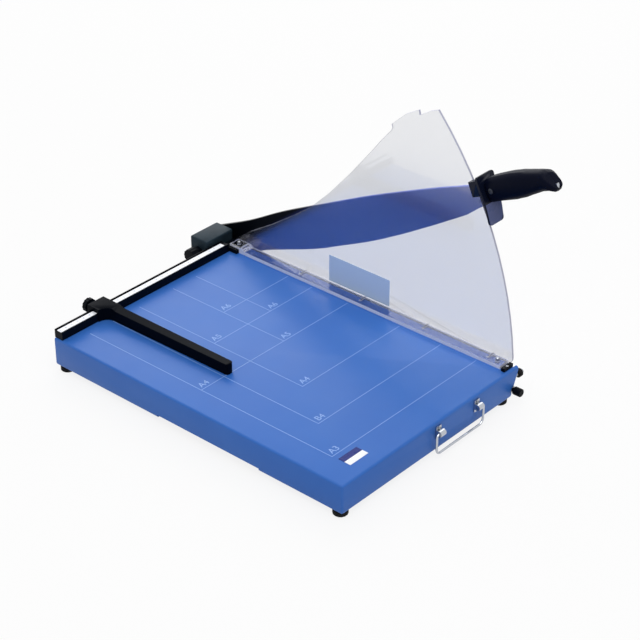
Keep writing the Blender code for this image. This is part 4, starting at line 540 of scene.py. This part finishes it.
def cross_recess(piece, centre, axis, reach):
    """Cuts a cross recess into a screw head; axis points out of the head."""
    # The cutter is centred on the head's face, so half of its height goes in
    height = sizes().recess_depth * 2
    turn = Vector(axis).to_track_quat("Z", "Y").to_matrix().to_4x4()
    cutter = bmesh.new()
    for angle in (0.0, math.pi / 2):
        place = (
            Matrix.Translation(centre) @ turn @ Matrix.Rotation(angle, 4, "Z")
            @ Matrix.Diagonal((reach * RECESS_LENGTH, reach * RECESS_WIDTH, height, 1.0)))
        bmesh.ops.create_cube(cutter, size=1.0, matrix=place)
    mesh = bpy.data.meshes.new("recess")
    cutter.to_mesh(mesh)
    cutter.free()
    tool = bpy.data.objects.new("recess", mesh)
    bpy.context.scene.collection.objects.link(tool)
    step = piece.modifiers.new("recess", "BOOLEAN")
    step.operation = "DIFFERENCE"
    step.object = tool
    step.use_self = True
    bpy.context.view_layer.update()
    cut = bpy.data.meshes.new_from_object(piece.evaluated_get(bpy.context.evaluated_depsgraph_get()))
    piece.modifiers.remove(step)
    old = piece.data
    piece.data = cut
    cut.name = old.name
    bpy.data.objects.remove(tool, do_unlink=True)
    bpy.data.meshes.remove(mesh)
    bpy.data.meshes.remove(old)


def screws(stem, axis, material):
    """Screws of one kind, each with its cross recess."""
    for node in sorted(frame["nodes"]):
        if stem in node:
            piece = dress(node, material)
            low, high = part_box(node)
            centre = (low + high) / 2
            side = Vector(axis)
            index = max(range(3), key=lambda number: abs(side[number]))
            centre[index] = high[index] if side[index] > 0 else low[index]
            width = min((high - low)[number] for number in range(3) if number != index)
            cross_recess(piece, centre, axis, width / 2)


# Operators, one for each group of pieces

class CUTTER_OT_table(bpy.types.Operator):
    """Enamelled sheet table and the beam along its cutting edge"""

    bl_idname = "cutter.table"
    bl_label = "Sheet table"

    def execute(self, context):
        dress("base_shell", enamel())
        dress("edge_beam", enamel(), sizes().edge_round)
        return {"FINISHED"}


class CUTTER_OT_formats(bpy.types.Operator):
    """Paper formats printed on the table"""

    bl_idname = "cutter.formats"
    bl_label = "Printed paper formats"

    def execute(self, context):
        size = sizes()
        shape = bmesh.new()
        half = size.line_width / 2
        across_at, along_at = {}, {}
        for _, across, along in FORMATS:
            along_at[across] = max(along, along_at.get(across, 0))
            across_at[along] = max(across, across_at.get(along, 0))
        for across, along in along_at.items():
            x, y = -across * MILLIMETRE, -along * MILLIMETRE
            block(shape, at(x - half, y - half, CLOSE), at(x + half, -size.rail_margin, size.ink_height))
        for along, across in across_at.items():
            x, y = -across * MILLIMETRE, -along * MILLIMETRE
            block(shape, at(x - half, y - half, CLOSE), at(-size.clamp_margin, y + half, size.ink_height))
        for name, across, along in FORMATS:
            x, y = -across * MILLIMETRE, -along * MILLIMETRE
            place = at(x + size.label_height * LABEL_ACROSS, y + size.label_height * LABEL_ALONG, CLOSE)
            lettering(shape, name, size.label_height, place, size.ink_height)
        ink = once("format_ink", printed_ink, finishes().ink)
        finish_piece("format_lines", shape, ink, "base", smooth=False)
        return {"FINISHED"}


class CUTTER_OT_badge(bpy.types.Operator):
    """Bare two-tone plate at the front of the table"""

    bl_idname = "cutter.badge"
    bl_label = "Bare plate"

    def execute(self, context):
        size = sizes()
        left, right = BADGE_LEFT, BADGE_LEFT + size.badge_width
        front, back = BADGE_FRONT, BADGE_FRONT + size.badge_depth
        middle = (front + back) / 2
        halves = (
            ("badge_upper", middle, back, "1B2A78"),
            ("badge_lower", front, middle - size.ink_height, "F2F4F8"))
        for name, near, far, code in halves:
            shape = bmesh.new()
            block(shape, at(left, near, CLOSE), at(right, far, size.badge_height))
            corners = [edge for edge in shape.edges if abs(edge.verts[0].co.z - edge.verts[1].co.z) > CLOSE]
            bmesh.ops.bevel(
                shape, geom=corners, offset=size.badge_height, offset_type="OFFSET", segments=3, profile=0.5,
                affect="EDGES", clamp_overlap=True, material=-1)
            # Glossy plate enamel: two flat tones, deep blue and white.
            plate_enamel = smooth_face(
                name + "_enamel", linear(code), roughness=0.3, grain=1.2, specular=0.12)
            plate = finish_piece(name, shape, plate_enamel, "base")
            round_edges(plate, size.badge_height * BADGE_ROUND)
        return {"FINISHED"}


class CUTTER_OT_rail(bpy.types.Operator):
    """Rail with its graduated scale strip"""

    bl_idname = "cutter.rail"
    bl_label = "Rail and scale"

    def execute(self, context):
        size = sizes()
        # Black anodised aluminium: an even satin sheen.
        anodised = smooth_face(
            "anodised_aluminium", linear("03060F"), roughness=0.38, grain=0.5, specular=0.08)
        dress("rail", anodised, size.edge_round * RAIL_ROUND)
        # White scale strip: bright and nearly matt.
        strip = smooth_face("scale_strip", finishes().scale, roughness=0.4, grain=0.6, specular=0.3)
        dress("rail_scale", strip)
        screws("rail_screw", (0, 0, -1), zinc())
        low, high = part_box("rail_scale")
        shape = bmesh.new()
        centimetre = 10 * MILLIMETRE
        step = centimetre / 2
        count = int((ZERO.x - low.x) / step)
        first = int((ZERO.x - high.x) / step) + 1
        for number in range(first, count + 1):
            x = ZERO.x - number * step
            reach = size.tick_short if number % 2 else size.tick_long
            block(
                shape, (x - size.tick_width / 2, low.y + size.tick_width, high.z + CLOSE),
                (x + size.tick_width / 2, low.y + reach, high.z + size.ink_height))
            if number % 2 == 0:
                figure = str(number // 2)
                place = Vector((
                    x - size.figure_height * FIGURE_SHARE * len(figure),
                    low.y + size.tick_long + size.tick_width, high.z + CLOSE))
                lettering(shape, figure, size.figure_height, place, size.ink_height)
        ink = once("scale_ink", printed_ink, linear("A3ACC0"))
        finish_piece("scale_graduations", shape, ink, "base", smooth=False)
        return {"FINISHED"}


class CUTTER_OT_blades(bpy.types.Operator):
    """Swinging blade, bed blade and the pivot's washer, nut and shaft"""

    bl_idname = "cutter.blades"
    bl_label = "Blades and pivot"

    def execute(self, context):
        colours = finishes()
        # The blue begins along the guard's edge: a painted reflection of the blue table seen through the
        # guard
        start, end = (at(0, along, 0) for along in (REFLECTION_START, REFLECTION_FULL))
        blade_with_painted_reflection = once(
            "blued_steel", blued_steel, colours.blade_root, colours.blade, at(0, BLACK_LINE, 0).y,
            start.y + REFLECTION_LEAN * start.z, end.y + REFLECTION_LEAN * end.z, REFLECTION_LEAN)
        blade = dress("blade", blade_with_painted_reflection)
        blade.data.materials.append(steel())
        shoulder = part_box("grip_left")[1].y
        for face in blade.data.polygons:
            face.material_index = int(face.center.y < shoulder)
        dress("bed_blade", steel())
        dress("pivot_shaft", steel())
        dress("pivot_washer", steel(), sizes().edge_round * WASHER_ROUND)
        dress("pivot_nut", zinc(), sizes().edge_round * NUT_ROUND)
        screws("bed_blade_screw", (1, 0, 0), zinc())
        return {"FINISHED"}


class CUTTER_OT_housing(bpy.types.Operator):
    """Pivot housing, its bushes, return spring and preload knob"""

    bl_idname = "cutter.housing"
    bl_label = "Pivot housing"

    def execute(self, context):
        dress("pivot_housing", once("cast_paint", cast_paint, finishes().casting), sizes().edge_round)
        # Sintered bronze is dull and warm, drawn spring steel grey with a soft shine.
        bronze = once("sintered_bronze", plated_metal, linear("8E6F3E"), roughness=0.45)
        dress_all("pivot_bush", bronze)
        dress("return_spring", once("spring_steel", plated_metal, linear("8A8E94"), roughness=0.3))
        dress("spring_cam", steel())
        dress("spring_knob", black_plastic(), sizes().edge_round)
        screws("housing_screw", (0, -1, 0), zinc())
        return {"FINISHED"}


class CUTTER_OT_grip(bpy.types.Operator):
    """Two-part grip and the hand shield"""

    bl_idname = "cutter.grip"
    bl_label = "Grip and shield"

    def execute(self, context):
        colours = finishes()
        # Glass-filled nylon: near black with a satin grain.
        grip = once(
            "glass_filled_nylon", moulded_plastic, colours.grip, roughness=0.4, grain=1.1, specular=0.05)
        close_bore(dress("grip_left", grip), "grip_screw_rear")
        dress("grip_right", grip)
        # Gloss polycarbonate: deep and dark with broad highlights. Below the grip its forward faces are
        # lighter and bluer: a painted reflection of the blue table.
        gloss = smooth_face("gloss_polycarbonate", colours.shield, roughness=0.25, grain=1.5, specular=0.2)
        shield = dress("hand_shield", gloss)
        shield.data.materials.append(
            smooth_face("plate_finish", linear("4A5480"), roughness=0.3, grain=1.5, specular=0.2))
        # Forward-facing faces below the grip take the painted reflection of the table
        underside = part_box("grip_left")[0].z
        for face in shield.data.polygons:
            face.material_index = int(face.center.z < underside and face.normal.y < -FACING)
        # Dulled screw heads: darker than the zinc-plated ones.
        dull = once("dull_screw", plated_metal, linear("4A4E56"), roughness=0.4)
        screws("grip_screw_front", (-1, 0, 0), dull)
        screws("grip_screw_rear", (1, 0, 0), dull)
        return {"FINISHED"}


class CUTTER_OT_guard(bpy.types.Operator):
    """Clear guard, clamp strip, end blocks and the bare film"""

    bl_idname = "cutter.guard"
    bl_label = "Guard and clamp"

    def execute(self, context):
        size = sizes()
        # The guard is smoky with a hazy sheen, the clamp strip tinted without one. Their cut edges are pale.
        smoky = once("smoky_acrylic", clear_acrylic, linear("EAEBEE"), coat=1.0)
        tinted = once("tinted_acrylic", clear_acrylic, linear("B2B6C6"), coat=0.0)
        for node, across, clear, cut, code in (
                ("guard", 0, smoky, "sawn_acrylic", "B4B6CA"),
                ("clamp_strip", 2, tinted, "milled_acrylic", "E8EAF6")):
            sheet = dress(node, clear)
            edges = smooth_face(cut, linear(code), roughness=0.5, grain=0.7, specular=0.3)
            sheet_edges(sheet, across, edges)
            sheet.visible_shadow = False
            round_edges(sheet, size.edge_round * SHEET_ROUND)
        screws("guard_screw", (1, 0, 0), zinc())
        dress("rear_end_block", black_plastic(), size.edge_round)
        dress("front_end_block", black_plastic(), size.edge_round)
        screws("block_screw", (0, 0, 1), zinc())
        dress_all("guide_pin", zinc())
        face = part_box("guard")[0].x
        shape = bmesh.new()
        corner = at(0, FILM_FRONT, FILM_BOTTOM)
        block(
            shape, (face - size.film_thickness, corner.y, corner.z),
            (face - CLOSE, corner.y + size.film_length, corner.z + size.film_height))
        # Bare film: pale blue and nearly matt.
        film = smooth_face("bare_film", linear("CCE2FC"), roughness=0.35, grain=2.0, specular=0.2)
        piece = finish_piece("guard_film", shape, film, "clamp")
        round_edges(piece, size.film_thickness * FILM_ROUND)
        return {"FINISHED"}


class CUTTER_OT_stop(bpy.types.Operator):
    """Sliding stop and its clamping knob"""

    bl_idname = "cutter.stop"
    bl_label = "Sliding stop"

    def execute(self, context):
        # Moulded stop: a satin black.
        satin = once(
            "moulded_stop", moulded_plastic, linear("04070F"), roughness=0.36, grain=0.9, specular=0.03)
        dress("stop_arm", satin)
        dress("stop_knob", black_plastic(), sizes().edge_round)
        return {"FINISHED"}


class CUTTER_OT_bail(bpy.types.Operator):
    """Chromed bail handle in its ears"""

    bl_idname = "cutter.bail"
    bl_label = "Bail handle"

    def execute(self, context):
        dress("bail_handle", chrome())
        dress_all("bail_ear", chrome())
        screws("ear_screw", (0, -1, 0), zinc())
        return {"FINISHED"}


class CUTTER_OT_feet(bpy.types.Operator):
    """Rubber feet, blade bumper and lock knob"""

    bl_idname = "cutter.feet"
    bl_label = "Feet, bumper and lock"

    def execute(self, context):
        rubber = once("moulded_rubber", soft_rubber, linear("0B0B0E"))
        dress_all("foot_", rubber)
        dress("blade_bumper", rubber)
        dress("bumper_pin", zinc())
        dress("lock_bush", steel())
        dress("lock_knob", black_plastic())
        return {"FINISHED"}


class CUTTER_OT_stage(bpy.types.Operator):
    """White floor, even studio light and the photograph's camera"""

    bl_idname = "cutter.stage"
    bl_label = "Studio stage"

    def execute(self, context):
        stage = context.scene.cutter_stage
        context.scene.view_settings.view_transform = "Standard"

        world = bpy.data.worlds.new("white_studio")
        world.use_nodes = True
        tree = world.node_tree
        tree.nodes.clear()
        seen = self.seen(tree)
        level = add(tree, "Mix", {"Factor": seen, "A": stage.world_light, "B": 1.0}, data_type="FLOAT")
        light = add(tree, "Background", {"Color": WHITE, "Strength": level.outputs["Result"]})
        add(tree, "OutputWorld", {"Surface": light.outputs["Background"]})
        context.scene.world = world

        floor_finish = bpy.data.materials.new("studio_floor")
        floor_finish.use_nodes = True
        tree = floor_finish.node_tree
        tree.nodes.clear()
        matt = add(tree, "BsdfDiffuse", {"Color": solid([FLOOR_VALUE] * 3)})
        white = add(tree, "Emission", {"Color": WHITE, "Strength": 1.0})
        share = add(tree, "Math", {0: self.seen(tree), 1: 1.0 - stage.shadow_share}, operation="MULTIPLY")
        both = add(tree, "MixShader", {
            0: share.outputs["Value"], 1: matt.outputs["BSDF"], 2: white.outputs["Emission"]})
        add(tree, "OutputMaterial", {"Surface": both.outputs["Shader"]})

        shape = bmesh.new()
        bmesh.ops.create_grid(shape, x_segments=1, y_segments=1, size=stage.floor_size / 2)
        mesh = bpy.data.meshes.new("studio_floor")
        shape.to_mesh(mesh)
        shape.free()
        mesh.materials.append(floor_finish)
        floor = bpy.data.objects.new("studio_floor", mesh)
        context.scene.collection.objects.link(floor)

        for name, place, power in (
                ("key_lamp", KEY_PLACE, stage.key_power), ("sheen_lamp", SHEEN_PLACE, stage.sheen_power)):
            lamp = bpy.data.lights.new(name, "AREA")
            lamp.energy = power
            lamp.size = stage.lamp_size
            holder = bpy.data.objects.new(name, lamp)
            holder.location = place
            holder.rotation_euler = (-place).to_track_quat("-Z", "Y").to_euler()
            context.scene.collection.objects.link(holder)

        lens = bpy.data.cameras.new("photo_camera")
        lens.lens = CAMERA_LENS
        lens.sensor_width = CAMERA_SENSOR
        lens.clip_start = CAMERA_CLIP
        camera = bpy.data.objects.new("photo_camera", lens)
        camera.location = ZERO + CAMERA_PLACE
        camera.rotation_euler = CAMERA_AIM.to_track_quat("-Z", "Y").to_euler()
        context.scene.collection.objects.link(camera)
        context.scene.camera = camera
        return {"FINISHED"}

    def seen(self, tree):
        """1 where the camera, a reflection or a clear piece looks at the background."""
        path = add(tree, "LightPath")
        shown = add(tree, "Math", {
            0: path.outputs["Is Camera Ray"], 1: path.outputs["Is Glossy Ray"]}, operation="MAXIMUM")
        through = add(tree, "Math", {
            0: shown.outputs["Value"], 1: path.outputs["Is Transmission Ray"]}, operation="MAXIMUM")
        return through.outputs["Value"]


PIECE_OPERATORS = (
    CUTTER_OT_table, CUTTER_OT_formats, CUTTER_OT_badge, CUTTER_OT_rail, CUTTER_OT_blades, CUTTER_OT_housing,
    CUTTER_OT_grip, CUTTER_OT_guard, CUTTER_OT_stop, CUTTER_OT_bail, CUTTER_OT_feet, CUTTER_OT_stage,
)


class CUTTER_PT_panel(bpy.types.Panel):
    """Buttons and settings of the paper cutter"""

    bl_label = "Paper cutter"
    bl_idname = "CUTTER_PT_panel"
    bl_space_type = "VIEW_3D"
    bl_region_type = "UI"
    bl_category = "Paper cutter"

    def draw(self, context):
        for operator in PIECE_OPERATORS:
            self.layout.operator(operator.bl_idname)
        for group in (context.scene.cutter_sizes, context.scene.cutter_finishes, context.scene.cutter_stage):
            box = self.layout.box()
            for name in group.bl_rna.properties.keys():
                if name not in ("rna_type", "name"):
                    box.prop(group, name)


SETTINGS = {"cutter_finishes": CutterFinishes, "cutter_sizes": CutterSizes, "cutter_stage": CutterStage}
CLASSES = (*SETTINGS.values(), *PIECE_OPERATORS, CUTTER_PT_panel)


def register():
    for item in CLASSES:
        bpy.utils.register_class(item)
    for name, group in SETTINGS.items():
        setattr(bpy.types.Scene, name, PointerProperty(type=group))


def unregister():
    for name in SETTINGS:
        delattr(bpy.types.Scene, name)
    for item in reversed(CLASSES):
        bpy.utils.unregister_class(item)


def main():
    register()
    for operator in PIECE_OPERATORS:
        group, name = operator.bl_idname.split(".")
        getattr(getattr(bpy.ops, group), name)()


if __name__ == "__main__":
    main()
